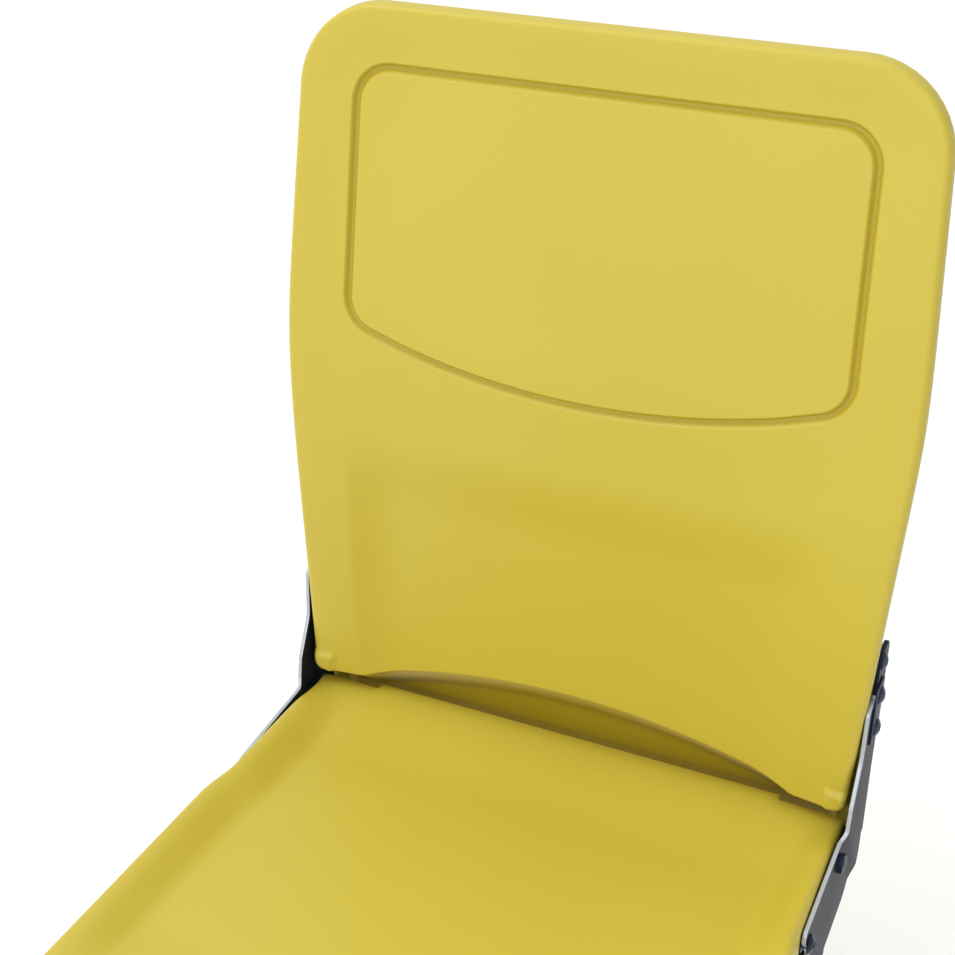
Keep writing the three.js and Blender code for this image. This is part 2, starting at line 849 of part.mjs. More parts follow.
function panHollow() {
  const outline = {
    low: seatHollowFront - seatFront,
    high: seatRear - seatHollowRear,
    lowCorner: seatHollowCorner,
    highCorner: seatHollowCorner,
    half: (setback) => panHalf(setback) - seatHollowSide,
  };
  const ends = cornerShares.flatMap((share) => [
    outline.low + share * seatHollowCorner,
    outline.high - share * seatHollowCorner,
  ]);
  const middle = panRowShares.map((share) => -share * seatFront);
  const low = outline.low + seatHollowCorner;
  const high = outline.high - seatHollowCorner;
  const inside = middle.filter((v) => v > low && v < high);
  const rows = ascending([outline.low, outline.high, ...ends, ...inside]);
  const columns = (v) => columnsAcross(halfAt(outline, v), seatWall, plainColumnShares);
  const upper = (x, setback) => rimPlane(setback) - dish(x, setback) - seatWall;
  const lower = (x, setback) => rimPlane(setback) - seatDepth + seatWall;
  return solidOf(slab(rows, columns, upper, lower));
}

const armInner = plateInner - armStepIn;
const armOuter = armInner + sheet;
const nutInner = armInner - touchGap - nutHeight;
const bushOuter = nutInner - touchGap;
const bushInner = bushOuter - bushLength;
const bushSeat = bushOuter - bushFlange - touchGap;
const bufferOuter = nutInner - touchGap;

function seatPan() {
  const past = seatRearHalfWidth + cutOverrun;
  const pocket = barX(pinPocketRadius, bushSeat, past, roundSides);
  const socket = barX(bushRadius + touchGap, bushInner - touchGap, past, roundSides);
  const slotInner = bufferOuter - bufferLength - slotClearance;
  const slotTop = bufferRadius + touchGap - stopDrop;
  const slotWidth = 2 * (bufferRadius + slotClearance);
  const slot = new THREE.BoxGeometry(past - slotInner, slotWidth, seatDepth);
  slot.translate((past + slotInner) / 2, -stopReach, slotTop - seatDepth / 2);
  const vent = barZ(seatVentRadius, -seatDepth - cutOverrun, cutOverrun - seatDepth);
  return cut(
    panSolid(),
    panHollow(),
    solidOf(vent.translate(0, -seatVentReach, rimPlane(-seatVentReach))),
    ...bothSides(pocket.translate(0, -pivotReach, -pivotDrop)),
    ...bothSides(socket.translate(0, -pivotReach, -pivotDrop)),
    ...bothSides(slot),
  );
}

// Side plates. The sheet steps in along the line from the elbow to the heel.

const plateCorners = [
  [-armReach, -armTopDrop, armTipCorner],
  [-toeReach, -plateDrop, toeCorner],
  [heelSetback, -plateDrop, heelCorner],
  [plateWaistSetback, plateWaistHeight, plateWaistCorner],
  [plateTopRear, plateTop, plateTopCorner],
  [plateTopFront, plateTop, plateTopCorner],
  [neckSetback, neckHeight, neckCorner],
  [shoulderSetback, shoulderHeight, shoulderCorner],
  [wristSetback, wristHeight, wristCorner],
  [-kneeReach, kneeHeight, kneeCorner],
  [-elbowReach, -armTopDrop, elbowCorner],
];

// Between two stepped faces, seen along the step: x over the distance across it
function steppedLayer(inner, outer) {
  const far = backHeight;
  const line = new THREE.Vector2(heelSetback + elbowReach, armTopDrop - plateDrop).normalize();
  const across = new THREE.Vector3(0, -line.y, line.x);
  const heel = new THREE.Vector3(0, heelSetback, -plateDrop);
  const shape = new THREE.Shape();
  shape.moveTo(-far, outer);
  shape.lineTo(-far, inner);
  shape.lineTo(-armStepLead, inner);
  if (inner > 0) shape.lineTo(armStepTail, inner + armStepIn);
  shape.lineTo(far, inner > 0 ? inner + armStepIn : inner);
  shape.lineTo(far, outer + armStepIn);
  shape.lineTo(armStepTail, outer + armStepIn);
  shape.lineTo(-armStepLead, outer);
  shape.closePath();
  const sideways = new THREE.Vector3(1, 0, 0);
  const axes = new THREE.Matrix4().makeBasis(across, sideways, across.clone().cross(sideways));
  const layer = extrude(shape, 2 * far).translate(0, 0, -far).applyMatrix4(axes);
  return layer.translate(heel.x, heel.y, heel.z);
}

function plateSolid() {
  const beyond = plateInner + sheet + cutOverrun;
  const flangeEdge = armOuter - flangeDepth;
  const whole = sidewaysExtrude(roundedShape(plateCorners), 0, beyond);
  const innerShape = roundedShape(movedIn(plateCorners, sheet));
  const inside = sidewaysExtrude(innerShape, -cutOverrun, beyond + cutOverrun);
  const lowerBack = new THREE.BoxGeometry(beyond - flangeEdge, heelSetback + toeReach, plateDrop);
  const flangeStart = toeCorner - toeReach;
  lowerBack.translate(
    (beyond + flangeEdge) / 2,
    flangeStart + (heelSetback + toeReach) / 2,
    -flangeTop - plateDrop / 2,
  );
  const web = solidOf(whole).intersect(solidOf(steppedLayer(armInner, armOuter)));
  const under = solidOf(steppedLayer(0, armOuter));
  const flange = cut(solidOf(whole), solidOf(inside)).intersect(solidOf(lowerBack)).intersect(under);
  return join(web, flange);
}

const beamBoltX = beamHalfLength - beamBoltInset;
const beamBoltSetbacks = [beamSetback - beamBoltSpacing / 2, beamSetback + beamBoltSpacing / 2];

function sidePlate() {
  const hole = boltRadius + boltClearance;
  const across = [0, plateInner + sheet + cutOverrun];
  const screwHoles = Object.values(backScrews).map(({ setback, height }) =>
    barX(hole, ...across).translate(0, setback, height),
  );
  const armHoles = [
    barX(hole, ...across).translate(0, -pivotReach, -pivotDrop),
    barX(hole, ...across).translate(0, -stopReach, -stopDrop),
  ];
  const flangeHoles = beamBoltSetbacks.map((setback) =>
    barZ(hole, -plateDrop - cutOverrun, cutOverrun - plateDrop).translate(beamBoltX, setback, 0),
  );
  return cut(plateSolid(), ...[...screwHoles, ...armHoles, ...flangeHoles].map(solidOf));
}

// Pads, screws and inserts of the backrest

function clampPad() {
  const { middle, lower } = backScrews;
  const halfHeight = (middle.height - lower.height) / 2 + padOverlap;
  const centre = [(middle.setback + lower.setback) / 2, (middle.height + lower.height) / 2];
  const lean = Math.atan2(lower.setback - middle.setback, middle.height - lower.height);
  const from = plateInner + sheet + touchGap;
  const pad = sidewaysExtrude(rectangle(padHalfWidth, halfHeight, padCorner), from, from + padThickness);
  pad.rotateX(lean).translate(0, ...centre);
  const hole = boltRadius + boltClearance;
  const holes = [middle, lower].map(({ setback, height }) =>
    solidOf(barX(hole, from - cutOverrun, from + cutOverrun).translate(0, setback, height)),
  );
  return cut(solidOf(pad), ...holes);
}

// Underframe

const beamTop = -plateDrop - touchGap;
const beamMiddle = beamTop - beamDepth / 2;
const floor = -wingHeight;

function tubeShape(halfA, halfB, wall, corner) {
  const shape = rectangle(halfA, halfB, corner);
  shape.holes.push(rectangle(halfA - wall, halfB - wall, corner - wall));
  return shape;
}

function crossBeam() {
  const shape = tubeShape(beamWidth / 2, beamDepth / 2, beamWall, beamCorner);
  const beam = sidewaysExtrude(shape, -beamHalfLength, beamHalfLength).translate(0, beamSetback, beamMiddle);
  const hole = boltRadius + boltClearance;
  const holes = beamBoltSetbacks.flatMap((setback) =>
    bothSides(barZ(hole, -beamDepth, beamDepth).translate(beamBoltX, setback, beamMiddle)),
  );
  return cut(solidOf(beam), ...holes);
}

function beamCap() {
  const plug = rectangle(
    beamWidth / 2 - beamWall - touchGap,
    beamDepth / 2 - beamWall - touchGap,
    beamCorner - beamWall,
  );
  const lid = rectangle(beamWidth / 2, beamDepth / 2, beamCorner);
  const from = beamHalfLength + touchGap;
  const cap = join(
    solidOf(sidewaysExtrude(lid, from, from + capThickness)),
    solidOf(sidewaysExtrude(plug, from - capPlugLength, from + capThickness / 2)),
  );
  return geometryOf(cap).translate(0, beamSetback, beamMiddle);
}

function foot() {
  const shape = rectangle(footWidth / 2, footLength / 2, footCorner);
  for (const x of [-anchorSpacingX / 2, anchorSpacingX / 2])
    for (const y of [-anchorSpacingY / 2, anchorSpacingY / 2])
      shape.holes.push(new THREE.Path().absarc(x, y, anchorHoleRadius, 0, 2 * Math.PI));
  return extrude(shape, footThickness, smallSides / 2).translate(legOffset, footSetback, floor);
}

const footTop = floor + footThickness + touchGap;

function leg() {
  const shape = tubeShape(legWidth / 2, beamWidth / 2, legWall, legCorner);
  const top = beamTop - beamDepth - touchGap;
  return extrude(shape, top - footTop).translate(legOffset, beamSetback, footTop);
}

function gusset(reach, side) {
  const face = beamSetback + side * (beamWidth / 2 + touchGap);
  const corners = [
    [0, 0],
    [reach, 0],
    [reach, gussetLip],
    [gussetLip, gussetHeight],
    [0, gussetHeight],
  ];
  const shape = new THREE.Shape(corners.map(([a, b]) => new THREE.Vector2(face + side * a, footTop + b)));
  const half = gussetThickness / 2;
  return sidewaysExtrude(shape, legOffset - half, legOffset + half);
}

// All pieces, in one assembly

const assembly = new THREE.Group();

function place(name, geometry, material, isLeft = false) {
  const mesh = new THREE.Mesh(geometry, material);
  mesh.name = name;
  if (isLeft) mesh.scale.x = -1;
  assembly.add(mesh);
}

function placePair(name, geometry, material) {
  place(`${name}_right`, geometry, material);
  place(`${name}_left`, geometry, material, true);
}

place("back_shell", geometryOf(backShell()), yellowPlastic);
place("seat_pan", geometryOf(seatPan()), yellowPlastic);
placePair("side_plate", geometryOf(sidePlate()), darkPaint);
placePair("clamp_pad", geometryOf(clampPad()), navyPlastic);

for (const [level, { setback, height }] of Object.entries(backScrews)) {
  const plateFace = plateInner + sheet + touchGap;
  const under = level === "upper" ? plateFace : plateFace + padThickness + touchGap;
  const insert = ring(boltRadius + touchGap, insertRadius, landFace - insertLength, landFace);
  placePair(`back_insert_${level}`, insert.translate(0, setback, height), brass);
  const screw = roundBolt(screwHeadRadius, screwHeadHeight, under - landFace + screwGrip);
  placePair(`back_screw_${level}`, screw.translate(under, setback, height), zincSteel);
}

const boltFace = armOuter + touchGap;
const pivotBolt = hexBolt(boltFace - bushInner - pinEndInset).translate(boltFace, -pivotReach, -pivotDrop);
placePair("pivot_bolt", pivotBolt, darkPaint);
placePair("pivot_nut", hexNut().translate(nutInner, -pivotReach, -pivotDrop), darkPaint);

const bush = turned([
  [bushInner, boltRadius + touchGap],
  [bushInner, bushRadius],
  [bushOuter - bushFlange, bushRadius],
  [bushOuter - bushFlange, bushFlangeRadius],
  [bushOuter, bushFlangeRadius],
  [bushOuter, boltRadius + touchGap],
]);
placePair("pivot_bush", bush.translate(0, -pivotReach, -pivotDrop), whiteNylon);

const stopBolt = roundBolt(stopHeadRadius, stopHeadHeight, boltFace - bufferOuter + bufferLength);
placePair("stop_bolt", stopBolt.translate(boltFace, -stopReach, -stopDrop), darkPaint);
placePair("stop_nut", hexNut().translate(nutInner, -stopReach, -stopDrop), darkPaint);
const buffer = ring(boltRadius + touchGap, bufferRadius, bufferOuter - bufferLength, bufferOuter, roundSides);
placePair("stop_buffer", buffer.translate(0, -stopReach, -stopDrop), blackRubber);

place("cross_beam", geometryOf(crossBeam()), darkPaint);
placePair("beam_cap", beamCap(), blackPlastic);

const flangeFace = sheet + touchGap - plateDrop;
const beamNutTop = beamTop - beamDepth - touchGap;
const uprightBolt = hexBolt(flangeFace - beamNutTop + nutHeight).rotateY(-Math.PI / 2);
const uprightNut = hexNut().rotateY(-Math.PI / 2);
["front", "rear"].forEach((end, index) => {
  const setback = beamBoltSetbacks[index];
  placePair(`beam_bolt_${end}`, uprightBolt.clone().translate(beamBoltX, setback, flangeFace), zincSteel);
  const nut = uprightNut.clone().translate(beamBoltX, setback, beamNutTop - nutHeight);
  placePair(`beam_nut_${end}`, nut, zincSteel);
});

placePair("leg", leg(), darkPaint);
placePair("foot", foot(), darkPaint);
placePair("gusset_front", gusset(gussetFrontLength, -1), darkPaint);
placePair("gusset_rear", gusset(gussetRearLength, 1), darkPaint);

const extent = new THREE.Box3().setFromObject(assembly);
assembly.position.set(0, -(extent.min.y + extent.max.y) / 2, wingHeight);

const stadiumSeat = new THREE.Group();
stadiumSeat.add(assembly);
export default stadiumSeat;
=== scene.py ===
"""The looks of a tip-up stadium seat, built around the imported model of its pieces."""

import json
import math

import bmesh
import bpy
import numpy as np
from mathutils import Matrix, Vector, geometry


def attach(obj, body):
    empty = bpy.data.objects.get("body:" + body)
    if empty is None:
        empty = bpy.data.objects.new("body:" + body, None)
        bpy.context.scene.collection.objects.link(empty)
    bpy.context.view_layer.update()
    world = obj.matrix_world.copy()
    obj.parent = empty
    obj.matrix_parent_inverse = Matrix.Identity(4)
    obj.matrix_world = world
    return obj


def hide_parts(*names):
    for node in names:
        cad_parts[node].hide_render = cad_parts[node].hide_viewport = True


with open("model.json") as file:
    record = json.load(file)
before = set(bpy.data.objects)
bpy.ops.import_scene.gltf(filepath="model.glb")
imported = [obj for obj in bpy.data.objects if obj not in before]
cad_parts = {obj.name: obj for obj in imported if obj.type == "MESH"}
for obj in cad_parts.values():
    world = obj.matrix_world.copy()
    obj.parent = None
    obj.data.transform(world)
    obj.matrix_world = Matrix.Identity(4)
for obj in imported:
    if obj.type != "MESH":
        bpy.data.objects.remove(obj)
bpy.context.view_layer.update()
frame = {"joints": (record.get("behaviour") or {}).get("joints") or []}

# Camera. A standing person's view of the seat from its front right, looking down on it.
# The lens and the place give the photograph's perspective.
camera_place = Vector((0.3484, -0.71565, 1.2334))
camera_yaw = math.radians(25.40)
camera_pitch = math.radians(32.18)
camera_roll = math.radians(1.69)
camera_lens = 62.0
camera_sensor = 36.0

camera = bpy.data.cameras.new("camera")
camera.lens = camera_lens
camera.sensor_width = camera_sensor
camera_object = bpy.data.objects.new("camera", camera)
bpy.context.collection.objects.link(camera_object)
level = Matrix.Rotation(camera_yaw, 4, "Z") @ Matrix.Rotation(math.pi / 2 - camera_pitch, 4, "X")
turned_level = level @ Matrix.Rotation(-camera_roll, 4, "Z")
camera_object.matrix_world = Matrix.Translation(camera_place) @ turned_level
bpy.context.scene.camera = camera_object

# Floor and light. A pale floor under a soft overcast sky that is brighter to the upper left, with a soft
# lamp high on the left, a weak one behind for the sheen on the pan, and a small one low in front.
floor_half = 6.0
floor_colour = "#f6f6f4"
floor_lift = 0.13
sky_level, sky_contrast, bright_side = 0.94, 0.45, (-0.75, -0.2, 0.63)
key_place, key_size, key_watts = Vector((-1.2, -0.7, 3.1)), 1.6, 18
back_place, back_size, back_watts = Vector((0.3, 1.2, 3.1)), 1.2, 6
front_place, front_size, front_watts = Vector((-0.1, -2.05, 1.6)), 0.35, 10
lamp_target = Vector((0, 0.05, 0.55))


def linear(colour):
    """An sRGB hex colour as linear red, green, blue and alpha."""
    parts = [int(colour[k : k + 2], 16) / 255 for k in (1, 3, 5)]
    return [v / 12.92 if v <= 0.04045 else ((v + 0.055) / 1.055) ** 2.4 for v in parts] + [1]


def add(tree, kind, settings=None, inputs=None):
    """A new node of that kind, with its settings, and its inputs set or linked."""
    made = tree.nodes.new(kind)
    for name, value in (settings or {}).items():
        setattr(made, name, value)
    for name, value in (inputs or {}).items():
        if isinstance(value, bpy.types.NodeSocket):
            tree.links.new(value, made.inputs[name])
        else:
            made.inputs[name].default_value = value
    return made


def new_material(name):
    """A material with an empty node tree, and that tree."""
    made = bpy.data.materials.new(name)
    made.use_nodes = True
    made.node_tree.nodes.clear()
    return made, made.node_tree


def finish_material(tree, surface):
    add(tree, "ShaderNodeOutputMaterial", inputs={"Surface": surface})


def pale_floor():
    """Matt white board, which the camera sees a little lighter than it is."""
    made, tree = new_material("white_board")
    matt = add(tree, "ShaderNodeBsdfDiffuse", inputs={"Color": linear(floor_colour)})
    glow = add(tree, "ShaderNodeEmission", inputs={"Strength": floor_lift})
    seen = add(tree, "ShaderNodeLightPath")
    shown = add(tree, "ShaderNodeAddShader", inputs={0: matt.outputs[0], 1: glow.outputs[0]})
    mixed = add(
        tree,
        "ShaderNodeMixShader",
        inputs={0: seen.outputs["Is Camera Ray"], 1: matt.outputs[0], 2: shown.outputs[0]},
    )
    finish_material(tree, mixed.outputs[0])
    return made


def area_lamp(name, place, size, watts):
    lamp = bpy.data.lights.new(name, "AREA")
    lamp.shape = "DISK"
    lamp.size = size
    lamp.energy = watts
    lamp_object = bpy.data.objects.new(name, lamp)
    bpy.context.collection.objects.link(lamp_object)
    lamp_object.location = place
    lamp_object.rotation_euler = (lamp_target - place).to_track_quat("-Z", "Y").to_euler()


def sky():
    """A soft sky, brighter to the upper left, which the camera sees as white."""
    world = bpy.data.worlds.new("overcast_sky")
    bpy.context.scene.world = world
    world.use_nodes = True
    tree = world.node_tree
    tree.nodes.clear()
    seen = add(tree, "ShaderNodeLightPath")
    way = add(tree, "ShaderNodeTexCoord").outputs["Generated"]
    toward = add(tree, "ShaderNodeVectorMath", {"operation": "DOT_PRODUCT"}, {0: way, 1: bright_side})
    level = add(
        tree,
        "ShaderNodeMapRange",
        inputs={
            "Value": toward.outputs["Value"],
            "From Min": -1.0,
            "From Max": 1.0,
            "To Min": sky_level * (1 - sky_contrast),
            "To Max": sky_level * (1 + sky_contrast),
        },
    )
    light = add(tree, "ShaderNodeBackground", inputs={"Strength": level.outputs[0]})
    white = add(tree, "ShaderNodeBackground", inputs={"Strength": 1.0})
    mixed = add(
        tree,
        "ShaderNodeMixShader",
        inputs={0: seen.outputs["Is Camera Ray"], 1: light.outputs[0], 2: white.outputs[0]},
    )
    add(tree, "ShaderNodeOutputWorld", inputs={"Surface": mixed.outputs[0]})


floor_mesh = bpy.data.meshes.new("floor")
floor_corners = [(-1, -1), (1, -1), (1, 1), (-1, 1)]
floor_mesh.from_pydata([(floor_half * x, floor_half * y, 0) for x, y in floor_corners], [], [(0, 1, 2, 3)])
floor_mesh.materials.append(pale_floor())
floor = bpy.data.objects.new("floor", floor_mesh)
bpy.context.collection.objects.link(floor)
area_lamp("key_lamp", key_place, key_size, key_watts)
area_lamp("back_lamp", back_place, back_size, back_watts)
area_lamp("front_lamp", front_place, front_size, front_watts)
sky()
bpy.context.scene.view_settings.view_transform = "Standard"

# Feet, legs and gussets. Two square legs of steel tube stand on thick foot plates, with a gusset in
# front and behind, all welded and powder coated. Sizes are millimetres from the middle of the seat,
# behind the wings' lower edge and above it, as on a drawing of the seat.
mm = 0.001
hinge = frame["joints"][0]
pivot_reach, pivot_drop = 24, 22.5
drawing_zero = Vector(hinge["pos_m"]) + Vector((0, pivot_reach, pivot_drop)) * mm
touch_gap = 0.3

paint_colour, paint_light_colour = "#1b222e", "#222a37"
paint_tone, paint_rough, paint_peel, paint_specular = (14, 4), (0.36, 0.5), (2.2, 0.12, 0.1), 0.08
edge_round, edge_bevel_share = 0.5, 0.3
sharp_angle, straight_angle, turn_steps = 35, 89.9, 8
tiny, weld_gap, fill_gap = 1e-9, 1e-6, 1e-7


def finished(name, colours, tone, rough, grain=None, painted_shade=None, settings=None):
    """A material whose colour drifts between two tones with a soft noise, given as scale and detail.
    Its roughness is a number, or two ends that drift along. A grain is a finer noise that raises a
    bump, given as its size, strength and height, with both lengths in millimetres. A colour of painted
    shade shows where the mesh's own attribute of that name is set."""
    made, tree = new_material(name)
    place = add(tree, "ShaderNodeTexCoord").outputs["Object"]
    noise = {"Vector": place, "Scale": tone[0], "Detail": tone[1]}
    drift = add(tree, "ShaderNodeTexNoise", inputs=noise).outputs["Fac"]
    kind = {"data_type": "RGBA"}
    tones = {0: drift, 6: linear(colours[0]), 7: linear(colours[1])}
    tint = add(tree, "ShaderNodeMix", kind, tones).outputs[2]
    # Painted shade: mixes in a darker colour where the mesh's attribute marks the surface as lying in
    # shade.
    if painted_shade:
        share = add(tree, "ShaderNodeAttribute", {"attribute_name": "painted_shade"}).outputs["Fac"]
        tint = add(tree, "ShaderNodeMix", kind, {0: share, 6: tint, 7: linear(painted_shade)}).outputs[2]
    if isinstance(rough, tuple):
        ends = {"Value": drift, "To Min": rough[0], "To Max": rough[1]}
        rough = add(tree, "ShaderNodeMapRange", inputs=ends).outputs[0]
    inputs = {"Base Color": tint, "Roughness": rough} | (settings or {})
    if grain:
        size, strength, height = grain
        noise = {"Vector": place, "Scale": 1 / (size * mm), "Detail": 2}
        fine = add(tree, "ShaderNodeTexNoise", inputs=noise).outputs["Fac"]
        raised = {"Height": fine, "Strength": strength, "Distance": height * mm}
        inputs["Normal"] = add(tree, "ShaderNodeBump", inputs=raised).outputs[0]
    surface = add(tree, "ShaderNodeBsdfPrincipled", inputs=inputs)
    finish_material(tree, surface.outputs[0])
    return made


def dark_paint():
    """Dark grey polyester powder coat on steel: an even film with a faint orange peel, so its soft
    reflections break up a little, and thinner and lighter in patches."""
    colours = (paint_colour, paint_light_colour)
    dull = {"Specular IOR Level": paint_specular}
    return finished("powder_coated_steel", colours, paint_tone, paint_rough, paint_peel, settings=dull)


powder_coat = dark_paint()


def rounded(corners, steps=turn_steps):
    """Points round an outline, from its corners as (a, b, radius)."""
    points = []
    for k, (a, b, radius) in enumerate(corners):
        here = np.array((a, b), float)
        to_last = np.array(corners[k - 1][:2]) - here
        to_next = np.array(corners[(k + 1) % len(corners)][:2]) - here
        to_last, to_next = to_last / np.hypot(*to_last), to_next / np.hypot(*to_next)
        half_angle = math.acos(np.clip(to_last @ to_next, -1, 1)) / 2
        if radius == 0 or half_angle > math.radians(straight_angle):
            points.append(here)
            continue
        reach = radius / math.tan(half_angle)
        middle = (to_last + to_next) / np.hypot(*(to_last + to_next))
        centre = here + middle * radius / math.sin(half_angle)
        one, two = here + to_last * reach - centre, here + to_next * reach - centre
        swing = math.atan2(one[0] * two[1] - one[1] * two[0], one @ two)
        for share in np.linspace(0, 1, steps + 1):
            turn = swing * share
            points.append(
                centre
                + one * math.cos(turn)
                + np.array((-one[1], one[0])) * math.sin(turn)
            )
    return np.array(points)


def inward(outline):
    """Unit vectors that point into a closed outline, at each of its points."""
    ahead = np.roll(outline, -1, 0) - outline
    behind = outline - np.roll(outline, 1, 0)
    ahead /= np.maximum(np.hypot(*ahead.T), tiny)[:, None]
    behind /= np.maximum(np.hypot(*behind.T), tiny)[:, None]
    along = ahead + behind
    along /= np.maximum(np.hypot(*along.T), tiny)[:, None]
    a, b = outline.T
    area = np.sum(a * np.roll(b, -1) - np.roll(a, -1) * b)
    return np.stack([-along[:, 1], along[:, 0]], 1) * np.sign(area)


def filled(loop, inside=()):
    """Triangles that fill a loop and take in the points inside it, as indexes of loop, then inside."""
    points = [Vector(p) for p in (*loop, *inside)]
    ring = [(k, (k + 1) % len(loop)) for k in range(len(loop))]
    _, _, faces, origins, _, _ = geometry.delaunay_2d_cdt(points, ring, [], 1, fill_gap)
    return [[origins[k][0] for k in face] for face in faces]


def bands(rows, around, closed=False):
    """The faces between rings of as many points: from each ring to the next, and where they close, from
    the last to the first."""
    faces = []
    for k in range(rows if closed else rows - 1):
        low, high = k * around, (k + 1) % rows * around
        for j in range(around):
            after = (j + 1) % around
            faces.append((low + j, low + after, high + after, high + j))
    return faces


def shell(rings, first_inside=None, last_inside=None):
    """A closed form from rings of as many points, each (a, b, depth). Points inside the first and the
    last ring shape the ends."""
    rings = np.asarray(rings, float)
    count, around = rings.shape[:2]
    points = [rings.reshape(-1, 3)]
    faces = bands(count, around)
    used = count * around
    for row, inside in ((0, first_inside), (count - 1, last_inside)):
        inside = np.zeros((0, 3)) if inside is None else np.asarray(inside, float)
        places = np.concatenate([np.arange(around) + row * around, np.arange(len(inside)) + used])
        faces += [tuple(places[list(face)]) for face in filled(rings[row, :, :2], inside[:, :2])]
        points.append(inside)
        used += len(inside)
    return np.concatenate(points), faces


def placed_object(name, points, edges=(), faces=()):
    """An object from points in millimetres on the drawing, x, back and up."""
    mesh = bpy.data.meshes.new(name)
    placed = np.asarray(points, float) * mm + np.array(drawing_zero)
    mesh.from_pydata(placed.tolist(), list(edges), [tuple(map(int, face)) for face in faces])
    made = bpy.data.objects.new(name, mesh)
    bpy.context.collection.objects.link(made)
    return made


def mesh_piece(name, points, faces, material):
    """A tidy object of one material."""
    made = placed_object(name, points, faces=faces)
    made.data.materials.append(material)
    tidy(made)
    return made


def tidy(made, crease=sharp_angle):
    """Closes seams, turns the faces outwards and shades all but the sharp edges smooth."""
    work = bmesh.new()
    work.from_mesh(made.data)
    bmesh.ops.remove_doubles(work, verts=work.verts, dist=weld_gap)
    bmesh.ops.dissolve_degenerate(work, edges=work.edges, dist=fill_gap)
    bmesh.ops.recalc_face_normals(work, faces=work.faces)
    for face in work.faces:
        face.smooth = True
    work.to_mesh(made.data)
    work.free()
    made.data.set_sharp_from_angle(angle=math.radians(crease))


def sheet_form(corners, low, high, edge=edge_round, order=(0, 1, 2)):
    """A flat plate with rounded corners and edges. Order says which of a, b and depth is x, back, up."""
    outline = rounded(corners)
    into = inward(outline)
    sides = [(edge, 0), (edge_bevel_share * edge, edge_bevel_share * edge), (0, edge)]
    sections = [(inset, low + rise) for inset, rise in sides]
    sections += [(inset, high - rise) for inset, rise in reversed(sides)]
    rings = []
    for inset, depth in sections:
        ring = outline + into * inset
        rings.append(np.column_stack([ring, np.full(len(ring), depth)]))
    points, faces = shell(rings)
    return points[:, list(order)], faces


def mirrored(points):
    return np.asarray(points) * (-1, 1, 1)


both_flips = (("right", np.asarray), ("left", mirrored))


def frame_piece(made, slot_name, *nodes):
    """Fixes a piece to the standing frame, in place of its solids."""
    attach(made, "frame")
    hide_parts(*nodes)


def box_corners(half_a, half_b, radius, a=0, b=0):
    return [
        (a - half_a, b - half_b, radius),
        (a + half_a, b - half_b, radius),
        (a + half_a, b + half_b, radius),
        (a - half_a, b + half_b, radius),
    ]


def joined(target, others, operation="UNION"):
    """Adds or cuts closed forms on a closed form, and removes them."""
    for other in others:
        step = target.modifiers.new("join", "BOOLEAN")
        step.operation = operation
        step.solver = "MANIFOLD"
        step.object = other
        graph = bpy.context.evaluated_depsgraph_get()
        made = bpy.data.meshes.new_from_object(target.evaluated_get(graph))
        target.modifiers.clear()
        old = target.data
        target.data = made
        bpy.data.meshes.remove(old)
        bpy.data.objects.remove(other)
    return target


def bar(name, radius, start, end, axis, at, sides=32):
    """A round bar along one axis, 0, 1 or 2, at the other two places, for cutting holes."""
    turns = np.linspace(0, 2 * math.pi, sides, endpoint=False)
    circle = np.stack([radius * np.cos(turns), radius * np.sin(turns)], 1)
    rings = [np.column_stack([circle + at, np.full(sides, along)]) for along in (start, end)]
    points, faces = shell(rings)
    order = {0: (2, 0, 1), 1: (0, 2, 1), 2: (0, 1, 2)}[axis]
    return mesh_piece(name, points[:, list(order)], faces, powder_coat)


floor_drop = -drawing_zero.z / mm
foot_half_width, foot_half_length, foot_thick, foot_corner, foot_edge = 50, 100, 8, 10, 0.8
foot_setback = -40
anchor_radius, anchor_half_x, anchor_half_y, cut_past = 5.5, 35, 80, 5
leg_x, leg_half_width, leg_half_depth, leg_wall, leg_corner = 140, 25, 30, 3, 5
beam_setback, beam_top, beam_half_height = -20, -98.3, 20
gusset_half, gusset_height, gusset_lip = 2.5, 60, 8
gusset_front, gusset_rear = 62, 42
foot_top = floor_drop + foot_thick + touch_gap
leg_top = beam_top - 2 * beam_half_height - touch_gap


def tube_form(half_a, half_b, wall, corner, low, high, order):
    """A rectangular tube with rounded corners, open at both ends."""
    outside = rounded(box_corners(half_a, half_b, corner))
    inside = rounded(box_corners(half_a - wall, half_b - wall, corner - wall))
    lip = edge_round
    run = [(outside, low + lip), (outside, high - lip)]
    run += [(outside + inward(outside) * lip, high), (inside, high), (inside, low)]
    run += [(outside + inward(outside) * lip, low)]
    points = np.concatenate([np.column_stack([ring, np.full(len(ring), z)]) for ring, z in run])
    return points[:, list(order)], bands(len(run), len(outside), closed=True)


def gusset_form(reach, side):
    face = beam_setback + side * (leg_half_depth + touch_gap)
    corners = [
        (face, foot_top, 0),
        (face + side * reach, foot_top, 0),
        (face + side * reach, foot_top + gusset_lip, 2),
        (face + side * gusset_lip, foot_top + gusset_height, 2),
        (face, foot_top + gusset_height, 0),
    ]
    return sheet_form(corners, leg_x - gusset_half, leg_x + gusset_half, order=(2, 0, 1))


